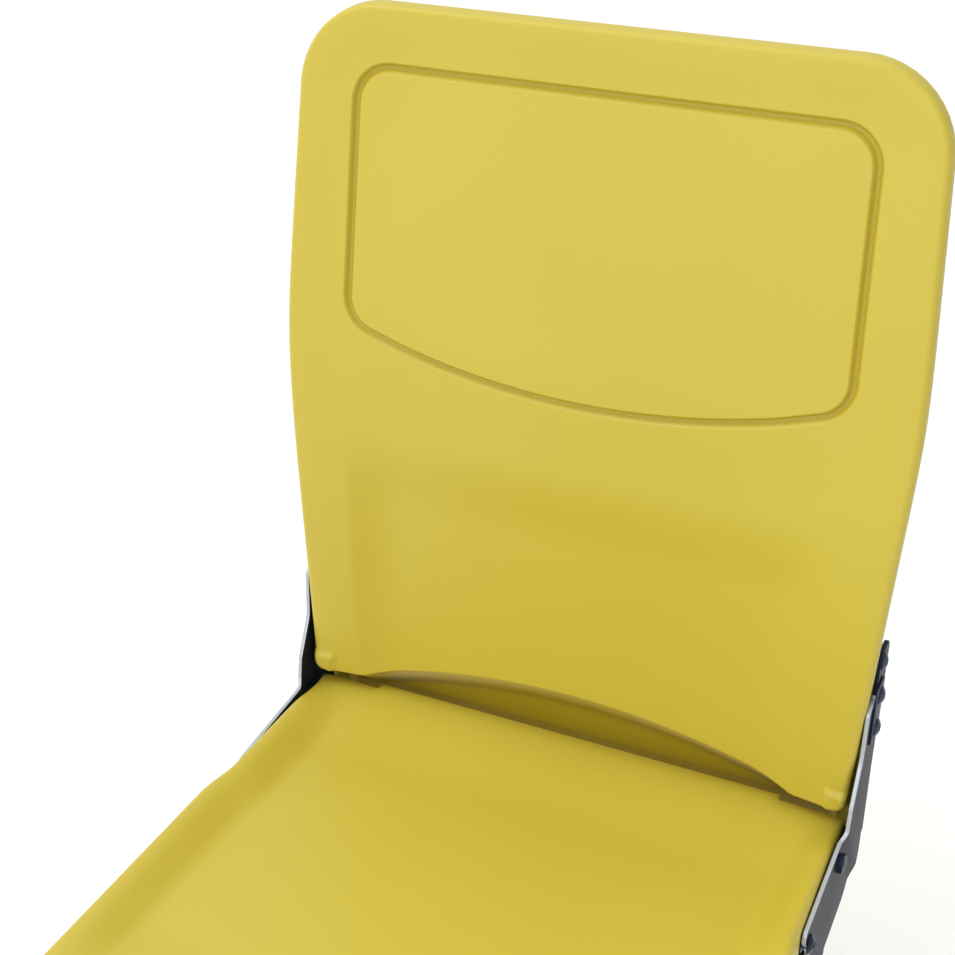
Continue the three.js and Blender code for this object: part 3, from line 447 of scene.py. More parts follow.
for side_name, flip in both_flips:
    points, faces = sheet_form(
        box_corners(foot_half_width, foot_half_length, foot_corner, leg_x, foot_setback),
        floor_drop,
        floor_drop + foot_thick,
        edge=foot_edge,
    )
    foot = mesh_piece(f"foot_plate_{side_name}", flip(points), faces, powder_coat)
    side_x = flip([(leg_x, 0, 0)])[0][0]
    drilled = (floor_drop - cut_past, floor_drop + foot_thick + cut_past)
    holes = [
        bar("hole", anchor_radius, *drilled, 2, (side_x + x, foot_setback + y))
        for x in (-anchor_half_x, anchor_half_x)
        for y in (-anchor_half_y, anchor_half_y)
    ]
    joined(foot, holes, "DIFFERENCE")
    tidy(foot)
    frame_piece(foot, "dark_paint", f"foot_{side_name}")

    section = (leg_half_width, leg_half_depth, leg_wall, leg_corner)
    points, faces = tube_form(*section, foot_top, leg_top, (0, 1, 2))
    points = points + (leg_x, beam_setback, 0)
    leg = mesh_piece(f"leg_tube_{side_name}", flip(points), faces, powder_coat)
    frame_piece(leg, "dark_paint", f"leg_{side_name}")

    for end, reach, side in (("front", gusset_front, -1), ("rear", gusset_rear, 1)):
        points, faces = gusset_form(reach, side)
        gusset = mesh_piece(f"gusset_{end}_plate_{side_name}", flip(points), faces, powder_coat)
        frame_piece(gusset, "dark_paint", f"gusset_{end}_{side_name}")

# Cross beam and its caps. Rectangular steel tube across both legs, powder coated, with black plastic
# plugs pressed into its open ends.
beam_half_width, beam_wall, beam_corner, beam_half_length = 30, 3, 5, 200
cap_thick, cap_plug, cap_edge, plug_corner = 3, 8, 1, 2
black_colour, black_grey_colour = "#1b1b1d", "#262629"
plastic_tone, plastic_grain = (22, 3), (1.4, 0.15, 0.1)


def grained_plastic(name, dark, light, rough, grain=plastic_grain):
    """Moulded plastic with a fine spark-eroded grain from its mould."""
    return finished(name, (dark, light), plastic_tone, rough, grain)


black_plastic = grained_plastic("black_polyethylene", black_colour, black_grey_colour, 0.6)
beam_middle = beam_top - beam_half_height
section = (beam_half_width, beam_half_height, beam_wall, beam_corner)
points, faces = tube_form(*section, -beam_half_length, beam_half_length, (2, 0, 1))
beam = mesh_piece("cross_beam_tube", points + (0, beam_setback, beam_middle), faces, powder_coat)
frame_piece(beam, "dark_paint", "cross_beam")

for side_name, flip in both_flips:
    start = beam_half_length + touch_gap
    lid = sheet_form(
        box_corners(beam_half_width, beam_half_height, beam_corner, beam_setback, beam_middle),
        start,
        start + cap_thick,
        edge=cap_edge,
        order=(2, 0, 1),
    )
    inner_half = beam_half_width - beam_wall - touch_gap
    inner_height = beam_half_height - beam_wall - touch_gap
    plug = sheet_form(
        box_corners(inner_half, inner_height, plug_corner, beam_setback, beam_middle),
        start - cap_plug,
        start + cap_thick / 2,
        order=(2, 0, 1),
    )
    cap = mesh_piece(f"beam_plug_{side_name}", flip(lid[0]), lid[1], black_plastic)
    joined(cap, [mesh_piece("plug", flip(plug[0]), plug[1], black_plastic)])
    tidy(cap)
    frame_piece(cap, "black_plastic", f"beam_cap_{side_name}")

# Side plates. One plate on each side is laser cut from 3 mm steel and pressed: its lower arm, which
# carries the pan, is set in by a step, and its heel is bent in to a flange that sits on the beam. It is
# powder coated. A pale metal colour on the cut edges is a painted highlight where they catch the light;
# it stops below the top of the upper arm and leaves out the flange.
sheet_thick = 3
plate_inner = 216
arm_step = 3.5
arm_outer = plate_inner - arm_step + sheet_thick
step_lead, step_tail = 9, 5
heel_setback, plate_drop = 44, 98
elbow_reach, arm_top_drop = 16, 6
flange_depth, flange_top, bend_radius = 46, 50, 5
flange_start = -39
plate_corners = [
    (-118, -arm_top_drop, 6),
    (-59, -plate_drop, 20),
    (flange_start, -plate_drop, 0),
    (heel_setback, -plate_drop, 38),
    (44.9, -flange_top, 0),
    (46, 10, 60),
    (56, 121, 10),
    (27, 121, 10),
    (25, 88, 3),
    (10.5, 84, 5),
    (6.5, 46, 20),
    (-11, 16, 12),
    (-elbow_reach, -arm_top_drop, 8),
]
# The pale edge colours below are a painted highlight on the plates' cut edges, which shows up to the given
# top height.
edge_highlight_colour, edge_highlight_light_colour = "#a3abb6", "#ced5de"
cut_line_tone, edge_highlight_top = (1 / (0.8 * mm), 3), 94
edge_curve = [(1.2, 0), (1, 0), (0.7, 0), (0.35, 0), (0.1, 0.1), (0, 0.35)]
web_sections = edge_curve + [(inset, sheet_thick - depth) for inset, depth in reversed(edge_curve)]
flange_edge, flange_inner_edge = 0.4, 0.6
bend_turns = (0, 22, 45, 68, 90)
plate_turn_steps, nearly, batch = 12, 0.01, 500
web_spacing, web_margin, bend_band = 7, 2.5, 11
bend_lane_step, bend_lane_half, bend_lane_spacing, bend_lane_margin = 2, 150, 4, 1.5


def smooth_step(low, high, value):
    share = np.clip((value - low) / (high - low), 0, 1)
    return share * share * (3 - 2 * share)


step_line = np.array((heel_setback + elbow_reach, arm_top_drop - plate_drop), float)
step_line /= np.hypot(*step_line)


def plate_face(a, b):
    """The plate's outer face: how far it lies from the middle of the seat, and how far the place lies
    across the line of the step."""
    across = -step_line[1] * (a - heel_setback) + step_line[0] * (b + plate_drop)
    return arm_outer + arm_step * smooth_step(-step_lead, step_tail, across), across


def inside_points(loop, spacing, margin):
    """Points of an even pattern of triangles, inside a loop and clear of it by a margin."""
    low, high = loop.min(0), loop.max(0)
    rows = np.arange(low[1] + margin, high[1], spacing * math.sqrt(3) / 2)
    found = []
    for k, row in enumerate(rows):
        a = np.arange(low[0] + (k % 2) * spacing / 2, high[0], spacing)
        found.append(np.stack([a, np.full(len(a), row)], 1))
    return clear_of(np.concatenate(found), loop, margin)


def clear_of(points, loop, margin):
    """Those of the points that lie inside a loop, further in than a margin."""
    one, two = loop, np.roll(loop, -1, 0)
    rise = two - one
    length = np.maximum((rise**2).sum(1), tiny**2)
    keep = np.ones(len(points), bool)
    for start in range(0, len(points), batch):
        part = points[start : start + batch, None, :]
        share = np.clip(((part - one) * rise).sum(2) / length, 0, 1)
        near = np.hypot(*np.moveaxis(part - one - share[..., None] * rise, 2, 0)).min(1)
        above = (one[:, 1] > part[..., 1]) != (two[:, 1] > part[..., 1])
        level_rise = np.where(rise[:, 1] == 0, tiny, rise[:, 1])
        crossing = one[:, 0] + (part[..., 1] - one[:, 1]) * rise[:, 0] / level_rise
        inside = (above & (part[..., 0] < crossing)).sum(1) % 2 == 1
        keep[start : start + batch] = inside & (near > margin)
    return points[keep]


def painted_edge_highlight():
    """Painted highlight for the plates' cut edges: a pale grey metal colour that stands in for the light
    these edges catch, with fine lines across the sheet.
    """
    colours = (edge_highlight_colour, edge_highlight_light_colour)
    return finished("steel_edge_painted_highlight", colours, cut_line_tone, 0.4, settings={"Metallic": 0.35})


edge_highlight_material = painted_edge_highlight()


def flange_sections(depth):
    """The bend and the flange behind it, as inset and depth behind the plate's outer face."""
    turns = np.radians(bend_turns)
    outer = [(bend_radius * (1 - math.sin(t)), bend_radius * (1 - math.cos(t))) for t in turns]
    end = depth - flange_edge
    tail = [(0, end), (flange_edge, depth), (sheet_thick - flange_edge, depth), (sheet_thick, end)]
    turned = sheet_thick + flange_inner_edge
    inner = [(sheet_thick, bend_radius), (turned, turned), (bend_radius, sheet_thick)]
    return outer + tail + inner


def plate_form():
    outline = rounded(plate_corners, plate_turn_steps)
    into = inward(outline)
    bent = (outline[:, 0] > flange_start - nearly) & (outline[:, 1] <= nearly - flange_top)
    stations = []
    for k, (point, normal) in enumerate(zip(outline, into)):
        before, after = bent[k - 1], bent[(k + 1) % len(outline)]
        if bent[k] and not before:
            stations.append((point, normal, False))
        stations.append((point, normal, bool(bent[k])))
        if bent[k] and not after:
            stations.append((point, normal, False))
    rings = []
    for row in range(len(web_sections)):
        ring = []
        for point, normal, flanged in stations:
            outer_x = plate_face(*point)[0]
            flange_end = outer_x - (arm_outer - flange_depth)
            inset, depth = (flange_sections(flange_end) if flanged else web_sections)[row]
            a, b = point + normal * inset
            ring.append((a, b, plate_face(a, b)[0] - depth))
        rings.append(ring)
    rings = np.array(rings)
    loop = rings[0, :, :2]
    pattern = inside_points(loop, web_spacing, web_margin)
    pattern = pattern[np.abs(plate_face(*pattern.T)[1] - (step_tail - step_lead) / 2) > bend_band]
    lanes = []
    last_lane = step_tail + bend_lane_step
    for across in np.arange(-step_lead - bend_lane_step, last_lane + nearly, bend_lane_step):
        for along in np.arange(-bend_lane_half, bend_lane_half, bend_lane_spacing):
            a = heel_setback - step_line[1] * across + step_line[0] * along
            b = -plate_drop + step_line[0] * across + step_line[1] * along
            lanes.append((a, b))
    web = np.concatenate([pattern, clear_of(np.array(lanes), loop, bend_lane_margin)])
    face_x = plate_face(*web.T)[0]
    first = np.column_stack([web, face_x])
    last = np.column_stack([web, face_x - sheet_thick])
    points, faces = shell(rings, first, last)
    around = len(stations)
    rows = len(web_sections)
    # Cut-edge faces below the given height, away from the flange, get the painted edge highlight.
    highlight_faces = []
    for k in range(rows - 1):
        for j in range(around):
            flat = not stations[j][2] and not stations[(j + 1) % around][2]
            flat = flat and stations[j][0][1] < edge_highlight_top
            highlight_faces.append(flat and 4 <= k <= 6)
    highlight_faces += [False] * (len(faces) - len(highlight_faces))
    return points[:, [2, 0, 1]], faces, highlight_faces


plate_points, plate_faces, plate_highlight_faces = plate_form()
for side_name, flip in both_flips:
    plate = placed_object(f"pressed_plate_{side_name}", flip(plate_points), faces=plate_faces)
    plate.data.materials.append(powder_coat)
    plate.data.materials.append(edge_highlight_material)
    plate.data.polygons.foreach_set("material_index", [int(on) for on in plate_highlight_faces])
    tidy(plate)
    frame_piece(plate, "dark_paint", f"side_plate_{side_name}")

# Bolts, screws and nuts. All are standard M8 parts: hexagon bolts and nuts, and low round screws with a
# hexagon socket. Those of the seat's pivot and stop are painted with the plates, the rest zinc plated.
head_half, head_high = 13 / 2 / math.cos(math.pi / 6), 5.3
nut_high, nut_shank = 6.5, 1
shank_radius, thread_pitch = 4, 1.25
zinc_colour, zinc_light_colour = "#2c3443", "#566074"
bolt_colour, bolt_light_colour = "#161d2c", "#2c3852"
round_socket = 2.9
fastener_sizes = {
    "hexagon": {"Sides": 6, "Head radius": head_half, "Head height": head_high, "Crown radius": 15.5},
    "nut": {"Sides": 6, "Head radius": head_half, "Head height": nut_high, "Crown radius": 16},
    "round": {"Sides": 40, "Head radius": 6.5, "Head height": 3, "Crown radius": 9.5},
    "low": {"Sides": 40, "Head radius": 7, "Head height": 4, "Crown radius": 9.5},
}


def zinc_plate():
    """Zinc-plated steel: a bright, slightly blue metal with a cloudy sheen from the bath."""
    colours = (zinc_colour, zinc_light_colour)
    return finished("zinc_plated_steel", colours, (260, 4), (0.22, 0.42), settings={"Metallic": 1.0})


def painted_bolt():
    """Dark blue-black coated bolt steel, smoother than the plates' paint."""
    colours = (bolt_colour, bolt_light_colour)
    return finished("blackened_bolt_steel", colours, (300, 3), 0.32, settings={"Metallic": 0.6})


zinc, bolt_black = (zinc_plate(), "zinc"), (painted_bolt(), "dark_paint")
both_ends, both_sides = ("front", "rear"), ("right", "left")


def fastener_tree():
    """Geometry Nodes that put a bolt, screw or nut at each point: a head trimmed by a large ball, an
    optional socket, and a ringed shank. Its axis turns about Y by Turn, mirrored on the left side."""
    tree = bpy.data.node_groups.new("fastener", "GeometryNodeTree")
    face = tree.interface
    face.new_socket("Places", in_out="INPUT", socket_type="NodeSocketGeometry")
    for name, kind in (
        ("Sides", "NodeSocketInt"),
        ("Head radius", "NodeSocketFloat"),
        ("Head height", "NodeSocketFloat"),
        ("Crown radius", "NodeSocketFloat"),
        ("Socket radius", "NodeSocketFloat"),
        ("Shank radius", "NodeSocketFloat"),
        ("Shank length", "NodeSocketFloat"),
        ("Pitch", "NodeSocketFloat"),
        ("Turn", "NodeSocketFloat"),
        ("Finish", "NodeSocketMaterial"),
    ):
        face.new_socket(name, in_out="INPUT", socket_type=kind)
    face.new_socket("Geometry", in_out="OUTPUT", socket_type="NodeSocketGeometry")
    given = add(tree, "NodeGroupInput").outputs

    def maths(kind, *values):
        return add(tree, "ShaderNodeMath", {"operation": kind}, dict(enumerate(values))).outputs[0]

    def lifted(mesh, height):
        offset = add(tree, "ShaderNodeCombineXYZ", inputs={"Z": height}).outputs[0]
        moved = add(tree, "GeometryNodeTransform", inputs={"Geometry": mesh, "Translation": offset})
        return moved.outputs[0]

    prism = add(
        tree,
        "GeometryNodeMeshCylinder",
        inputs={"Vertices": given["Sides"], "Radius": given["Head radius"], "Depth": given["Head height"]},
    )
    prism_up = lifted(prism.outputs["Mesh"], maths("MULTIPLY", given["Head height"], 0.5))
    ball = add(
        tree,
        "GeometryNodeMeshUVSphere",
        inputs={"Segments": 48, "Rings": 48, "Radius": given["Crown radius"]},
    )
    ball_up = lifted(ball.outputs["Mesh"], maths("SUBTRACT", given["Head height"], given["Crown radius"]))
    head = add(tree, "GeometryNodeMeshBoolean", {"operation": "INTERSECT", "solver": "MANIFOLD"})
    tree.links.new(prism_up, head.inputs["Mesh 2"])
    tree.links.new(ball_up, head.inputs["Mesh 2"])
    socket = add(
        tree,
        "GeometryNodeMeshCylinder",
        inputs={"Vertices": 6, "Radius": given["Socket radius"], "Depth": given["Head height"]},
    )
    socket_up = lifted(socket.outputs["Mesh"], given["Head height"])
    holed = add(
        tree,
        "GeometryNodeMeshBoolean",
        {"operation": "DIFFERENCE", "solver": "MANIFOLD"},
        {"Mesh 1": head.outputs["Mesh"]},
    )
    tree.links.new(socket_up, holed.inputs["Mesh 2"])
    has_socket = add(
        tree,
        "FunctionNodeCompare",
        {"operation": "GREATER_THAN"},
        {0: given["Socket radius"], 1: 0.0001},
    )
    chosen = add(
        tree,
        "GeometryNodeSwitch",
        {"input_type": "GEOMETRY"},
        {"Switch": has_socket.outputs[0], "False": head.outputs["Mesh"], "True": holed.outputs["Mesh"]},
    )
    bottom = add(
        tree,
        "ShaderNodeCombineXYZ",
        inputs={"Z": maths("MULTIPLY", given["Shank length"], -1.0)},
    )
    line = add(
        tree,
        "GeometryNodeCurvePrimitiveLine",
        inputs={"Start": (0, 0, 0.0005), "End": bottom.outputs[0]},
    )
    turns = maths("MULTIPLY", maths("DIVIDE", given["Shank length"], given["Pitch"]), 2.0)
    steps = add(
        tree,
        "GeometryNodeResampleCurve",
        inputs={"Curve": line.outputs[0], "Count": maths("ADD", turns, 2.0)},
    )
    odd = maths("MODULO", add(tree, "GeometryNodeInputIndex").outputs[0], 2.0)
    thinner = maths("SUBTRACT", 1.0, maths("MULTIPLY", odd, 0.12))
    ringed = add(
        tree,
        "GeometryNodeSetCurveRadius",
        inputs={"Curve": steps.outputs[0], "Radius": thinner},
    )
    circle = add(
        tree,
        "GeometryNodeCurvePrimitiveCircle",
        inputs={"Resolution": 20, "Radius": given["Shank radius"]},
    )
    shank = add(
        tree,
        "GeometryNodeCurveToMesh",
        inputs={"Curve": ringed.outputs[0], "Profile Curve": circle.outputs[0], "Fill Caps": True},
    )
    if "Scale" in shank.inputs:
        tree.links.new(thinner, shank.inputs["Scale"])
    whole = add(tree, "GeometryNodeJoinGeometry")
    tree.links.new(chosen.outputs[0], whole.inputs[0])
    tree.links.new(shank.outputs[0], whole.inputs[0])
    place = add(tree, "GeometryNodeInputPosition")
    x = add(tree, "ShaderNodeSeparateXYZ", inputs={0: place.outputs[0]}).outputs["X"]
    turn = maths("MULTIPLY", maths("SIGN", x), given["Turn"])
    angles = add(tree, "ShaderNodeCombineXYZ", inputs={"Y": turn})
    copies = add(
        tree,
        "GeometryNodeInstanceOnPoints",
        inputs={"Points": given["Places"], "Instance": whole.outputs[0], "Rotation": angles.outputs[0]},
    )
    solid = add(tree, "GeometryNodeRealizeInstances", inputs={0: copies.outputs[0]})
    finish = add(
        tree,
        "GeometryNodeSetMaterial",
        inputs={"Geometry": solid.outputs[0], "Material": given["Finish"]},
    )
    add(tree, "NodeGroupOutput", inputs={"Geometry": finish.outputs[0]})
    return tree


fastener = fastener_tree()


def grown(name, points, tree, values):
    """The mesh that a tree makes from points in millimetres, as a plain object."""
    made = placed_object(name, points, [(k, k + 1) for k in range(0, len(points) - 1, 2)])
    mesh = made.data
    step = made.modifiers.new("grow", "NODES")
    step.node_group = tree
    for item in tree.interface.items_tree:
        if item.in_out == "INPUT" and item.name in values:
            step[item.identifier] = values[item.name]
    graph = bpy.context.evaluated_depsgraph_get()
    result = bpy.data.meshes.new_from_object(made.evaluated_get(graph))
    made.modifiers.clear()
    made.data = result
    bpy.data.meshes.remove(mesh)
    tidy(made, 30)
    return made


def fasteners(name, nodes, places, finish, turn, length, kind="hexagon"):
    """Like fasteners at the places on the right, x, back and up, and at their mirror images, in place of
    those nodes of both sides. A finish is a material and its slot."""
    material, slot_name = finish
    sizes = fastener_sizes[kind]
    values = {key: value if key == "Sides" else value * mm for key, value in sizes.items()}
    values["Socket radius"] = round_socket * mm if kind in ("round", "low") else 0.0
    values |= {"Shank radius": shank_radius * mm, "Shank length": length * mm, "Pitch": thread_pitch * mm}
    values |= {"Turn": turn, "Finish": material}
    made = grown(name, [*places, *mirrored(places)], fastener, values)
    frame_piece(made, slot_name, *(f"{node}_{side}" for node in nodes for side in both_sides))


outward, upward, down = math.pi / 2, 0.0, math.pi
beam_bolt_x, beam_bolt_half_spacing = beam_half_length - 20, 17
beam_bolt_places = [
    (beam_bolt_x, beam_setback + side * beam_bolt_half_spacing, 0) for side in (-1, 1)
]
flange_face = -plate_drop + sheet_thick + touch_gap
beam_nut_face = beam_top - 2 * beam_half_height - touch_gap

places = [(x, y, flange_face) for x, y, _ in beam_bolt_places]
nodes = [f"beam_bolt_{end}" for end in both_ends]
fasteners("beam_bolts", nodes, places, zinc, upward, flange_face - beam_nut_face + nut_high)

places = [(x, y, beam_nut_face) for x, y, _ in beam_bolt_places]
nodes = [f"beam_nut_{end}" for end in both_ends]
fasteners("beam_nuts", nodes, places, zinc, down, nut_shank, "nut")

# Stops of the pan. A low round screw near the tip of each lower arm holds a rubber sleeve, on which the
# pan comes to rest.
stop_reach, stop_drop = 104, 22
bolt_face = arm_outer + touch_gap
nut_face = plate_inner - arm_step - touch_gap
buffer_outer = nut_face - nut_high - touch_gap
buffer_length, buffer_radius = 11, 8
sleeve_edge, sleeve_turn, sleeve_fall, sleeve_face = 1.2, 0.4, 0.3, 1
rubber_colour, rubber_light_colour = "#121212", "#1d1d1d"


def turned_form(profile, at, sides=48):
    """A piece turned about a line along X, from a closed profile of (x, radius)."""
    turns = np.linspace(0, 2 * math.pi, sides, endpoint=False)
    points = []
    for x, radius in profile:
        points += [(x, at[0] + radius * math.cos(t), at[1] + radius * math.sin(t)) for t in turns]
    return np.array(points), bands(len(profile), sides, closed=True)


rubber = grained_plastic("black_rubber", rubber_colour, rubber_light_colour, 0.85, (2.0, 0.3, 0.1))
stop_place = [(bolt_face, -stop_reach, -stop_drop)]
stop_length = bolt_face - buffer_outer + buffer_length
fasteners("stop_screws", ["stop_bolt"], stop_place, bolt_black, outward, stop_length, "low")
nut_place = [(nut_face, -stop_reach, -stop_drop)]
fasteners("stop_nuts", ["stop_nut"], nut_place, bolt_black, -outward, nut_shank, "nut")

sleeve_bore = shank_radius + touch_gap
sleeve_start = buffer_outer - buffer_length
sleeve_profile = [
    (sleeve_start, sleeve_bore),
    (sleeve_start, buffer_radius - sleeve_face),
    (sleeve_start + sleeve_turn, buffer_radius - sleeve_fall),
    (sleeve_start + sleeve_edge, buffer_radius),
    (buffer_outer - sleeve_edge, buffer_radius),
    (buffer_outer - sleeve_turn, buffer_radius - sleeve_fall),
    (buffer_outer, buffer_radius - sleeve_face),
    (buffer_outer, sleeve_bore),
]
points, faces = turned_form(sleeve_profile, (-stop_reach, -stop_drop))
for side_name, flip in both_flips:
    sleeve = mesh_piece(f"stop_sleeve_{side_name}", flip(points), faces, rubber)
    frame_piece(sleeve, "rubber", f"stop_buffer_{side_name}")

# Pivots of the pan. A hexagon bolt is locked to each lower arm by a nut, and its smooth end turns in a
# white nylon bush that is pressed into the pan.
bush_length, bush_radius, bush_flange_radius, bush_flange = 20, 7, 7.6, 1.5
bush_edge, bush_flange_edge, pivot_end_gap = 0.5, 0.3, 1
bush_outer = buffer_outer
bush_inner = bush_outer - bush_length
nylon_colour, nylon_light_colour = "#dcd9cf", "#e9e7df"
pivot_place = [(bolt_face, -pivot_reach, -pivot_drop)]
pivot_length = bolt_face - bush_inner - pivot_end_gap
fasteners("pivot_bolts", ["pivot_bolt"], pivot_place, bolt_black, outward, pivot_length)
nut_place = [(nut_face, -pivot_reach, -pivot_drop)]
fasteners("pivot_nuts", ["pivot_nut"], nut_place, bolt_black, -outward, nut_shank, "nut")

nylon = grained_plastic("white_nylon", nylon_colour, nylon_light_colour, 0.45, (1.8, 0.1, 0.1))
bush_profile = [
    (bush_inner, sleeve_bore),
    (bush_inner, bush_radius - bush_edge),
    (bush_inner + bush_edge, bush_radius),
    (bush_outer - bush_flange, bush_radius),
    (bush_outer - bush_flange, bush_flange_radius),
    (bush_outer - bush_flange_edge, bush_flange_radius),
    (bush_outer, bush_flange_radius - bush_flange_edge),
    (bush_outer, sleeve_bore),
]
points, faces = turned_form(bush_profile, (-pivot_reach, -pivot_drop))
for side_name, flip in both_flips:
    bush = mesh_piece(f"nylon_bush_{side_name}", flip(points), faces, nylon)
    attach(bush, "seat")
    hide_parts(f"pivot_bush_{side_name}")

# Seat pan. One hollow moulding in yellow plastic, with a shallow dish, a rolled front edge and a rim that
# falls to the rear. Its rear end is narrower, where it fits between the lower arms.
yellow_colour, yellow_deep_colour = "#cbba42", "#c6b138"
# The next colour is painted shade: a browner tone for the back's groove and for the skirt under its arched
# edge.
painted_shade_colour = "#a68c00"
seat_rise = math.radians(5)
seat_rear, seat_front = 19.5, 400
seat_rim_drop, seat_depth = 9.7, 32
seat_half, seat_rear_half = 216.5, 211.5
rebate_end, rebate_blend = 122, 38
seat_front_corner, seat_rear_corner = 50, 5
seat_front_roll, seat_front_roll_run, seat_side_roll, seat_under_edge = 26, 60, 5.5, 5
seat_rear_edge, rear_fall, rear_fall_run, rim_fade_run = 2, 2.4, 16, 60
dish_depth, dish_wall_outer, dish_wall_inner = 15, 5, 36
dish_rear_depth, dish_rear_run, dish_front_start, dish_front_run = 3.6, 90, 385, 110
notch_half, notch_blend, notch_depth, notch_run = 160.6, 3, 5.5, 50
notch_mark_shares = np.array((-0.3, 0, 0.25, 0.5, 0.75, 1, 1.3))
roll_shares = (1, 0.84, 0.69, 0.54, 0.4, 0.27, 0.16, 0.07, 0.015, 0)
pan_outline_spacing, pan_top_spacing, pan_top_margin = 5, 5, 2
under_spacing, under_margin = 30, 12
yellow_tone, yellow_rough, yellow_grain, yellow_specular = (5, 3), (0.4, 0.5), (1.3, 0.1, 0.08), 0.55


def yellow_plastic():
    """Satin polypropylene, coloured through: an even yellow with a fine mould grain, large soft drifts
    of tone and gloss where the melt has flowed, and a browner painted shade in the groove and on the
    skirt under the arched lower edge, where shade falls."""
    colours = (yellow_deep_colour, yellow_colour)
    gloss = {"Specular IOR Level": yellow_specular}
    look = (yellow_tone, yellow_rough, yellow_grain, painted_shade_colour, gloss)
    return finished("yellow_polypropylene", colours, *look)


yellow = yellow_plastic()


def edge_drop(inset, radius):
    """How far a rounded edge has fallen away, at a distance in from the outline."""
    along = radius - np.clip(inset, 0, radius)
    return radius - np.sqrt(np.maximum(radius**2 - along**2, 0))


def rim_plane(setback):
    return -seat_rim_drop - (setback - seat_rear) * math.tan(seat_rise)


def pan_half(setback):
    widened = smooth_step(rebate_end, rebate_end + rebate_blend, -setback)
    return seat_rear_half + (seat_half - seat_rear_half) * widened


def dish(x, setback):
    """How far the top lies below the rim: a dish between walls that fade out towards the rear edge,
    where the top falls away."""
    forward = seat_rear - setback
    across = smooth_step(dish_wall_outer, dish_wall_inner, pan_half(setback) - np.abs(x))
    across = 1 - (1 - across) * smooth_step(0, rim_fade_run, forward)
    deep = dish_rear_depth + (dish_depth - dish_rear_depth) * smooth_step(0, dish_rear_run, forward)
    front = smooth_step(0, dish_front_run, dish_front_start + setback)
    return deep * across * front + rear_fall * (1 - np.clip(forward / rear_fall_run, 0, 1)) ** 2


def strip_outline(half, low, high, low_corner, high_corner, spacing, marks=(), top_marks=()):
    """A strip from low to high, of half width half(v), with rounded corners, clockwise. Marks are
    further places up its sides and along its top that get points."""
    top_centre, low_centre = high - high_corner, low + low_corner
    turns = np.radians(np.linspace(90, 0, 13))
    top_x = half(top_centre) - high_corner
    low_x = half(low_centre) - low_corner
    across = np.linspace(0, top_x, round(top_x / spacing), endpoint=False)
    right = [(x, high) for x in sorted([*across, *top_marks])]
    right += [(top_x + high_corner * math.cos(t), top_centre + high_corner * math.sin(t)) for t in turns]
    down_side = np.linspace(top_centre, low_centre, round((top_centre - low_centre) / spacing))[1:-1]
    down_side = sorted([*down_side, *marks], reverse=True)
    right += [(half(v), v) for v in down_side]
    right += [(low_x + low_corner * math.sin(t), low_centre - low_corner * math.cos(t)) for t in turns]
    across = np.linspace(low_x, 0, round(low_x / spacing))[1:]
    right += [(x, low) for x in across]
    right = np.array(right, float)
    left = right[1:-1][::-1] * (-1, 1)
    return np.concatenate([right, left])


def notched(points):
    """The pan's rear edge stands back further between the two ends of the notch."""
    aside = smooth_step(notch_half, notch_half + notch_blend, np.abs(points[..., 0]))
    near = smooth_step(seat_rear - notch_run, seat_rear - seat_rear_corner, points[..., 1])
    moved = points.copy()
    moved[..., 1] -= notch_depth * aside * near
    return moved


def pan_form():
    ends = (seat_front_corner, seat_rear_corner)
    notch_marks = notch_half + notch_blend * notch_mark_shares
    run = (-seat_front, seat_rear, *ends, pan_outline_spacing)
    outline = strip_outline(pan_half, *run, top_marks=notch_marks)
    into = inward(outline)
    forward = smooth_step(0, seat_front_roll_run, outline[:, 1] + seat_front)
    roll = seat_front_roll + (seat_side_roll - seat_front_roll) * forward
    square_start, square_end = seat_rear - 3 * seat_rear_corner, seat_rear - seat_rear_corner / 2
    roll += (seat_rear_edge - roll) * smooth_step(square_start, square_end, outline[:, 1])
    rings = []
    for share in roll_shares:
        ring = outline + into * (share * roll)[:, None]
        drop = edge_drop(share * roll, roll)
        rings.append(np.column_stack([ring, rim_plane(ring[:, 1]) - dish(*ring.T) - drop]))
    for share in reversed(roll_shares):
        inset = share * seat_under_edge
        ring = outline + into * inset
        under = rim_plane(ring[:, 1]) - seat_depth + edge_drop(inset, seat_under_edge)
        rings.append(np.column_stack([ring, under]))
    top = inside_points(rings[0][:, :2], pan_top_spacing, pan_top_margin)
    top = np.column_stack([top, rim_plane(top[:, 1]) - dish(*top.T)])
    below = inside_points(rings[-1][:, :2], under_spacing, under_margin)
    below = np.column_stack([below, rim_plane(below[:, 1]) - seat_depth])
    return shell(notched(np.array(rings)), notched(top), notched(below))


points, faces = pan_form()
seat = mesh_piece("seat_moulding", points, faces, yellow)
pocket_radius, slot_clear, slot_corner, mould_cut_past = 8.2, 0.7, 2, 6
past = seat_rear_half + mould_cut_past
cutters = []
for side in (1, -1):
    pivot_at = (-pivot_reach, -pivot_drop)
    bush_seat = bush_outer - bush_flange - touch_gap
    cutters.append(bar("pocket", pocket_radius, side * bush_seat, side * past, 0, pivot_at))
    bore_end = side * (bush_inner - touch_gap)
    cutters.append(bar("bore", bush_radius + touch_gap, bore_end, side * past, 0, pivot_at))
    slot_inner = buffer_outer - buffer_length - slot_clear
    slot_half = buffer_radius + slot_clear
    slot_top = buffer_radius + touch_gap - stop_drop
    slot_middle, slot_half_length = side * (past + slot_inner) / 2, (past - slot_inner) / 2
    slot_corners = box_corners(slot_half_length, slot_half, slot_corner, slot_middle, -stop_reach)
    slot = sheet_form(slot_corners, slot_top - seat_depth, slot_top)
    cutters.append(mesh_piece("slot", *slot, yellow))
joined(seat, cutters, "DIFFERENCE")
tidy(seat)
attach(seat, "seat")
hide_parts("seat_pan")

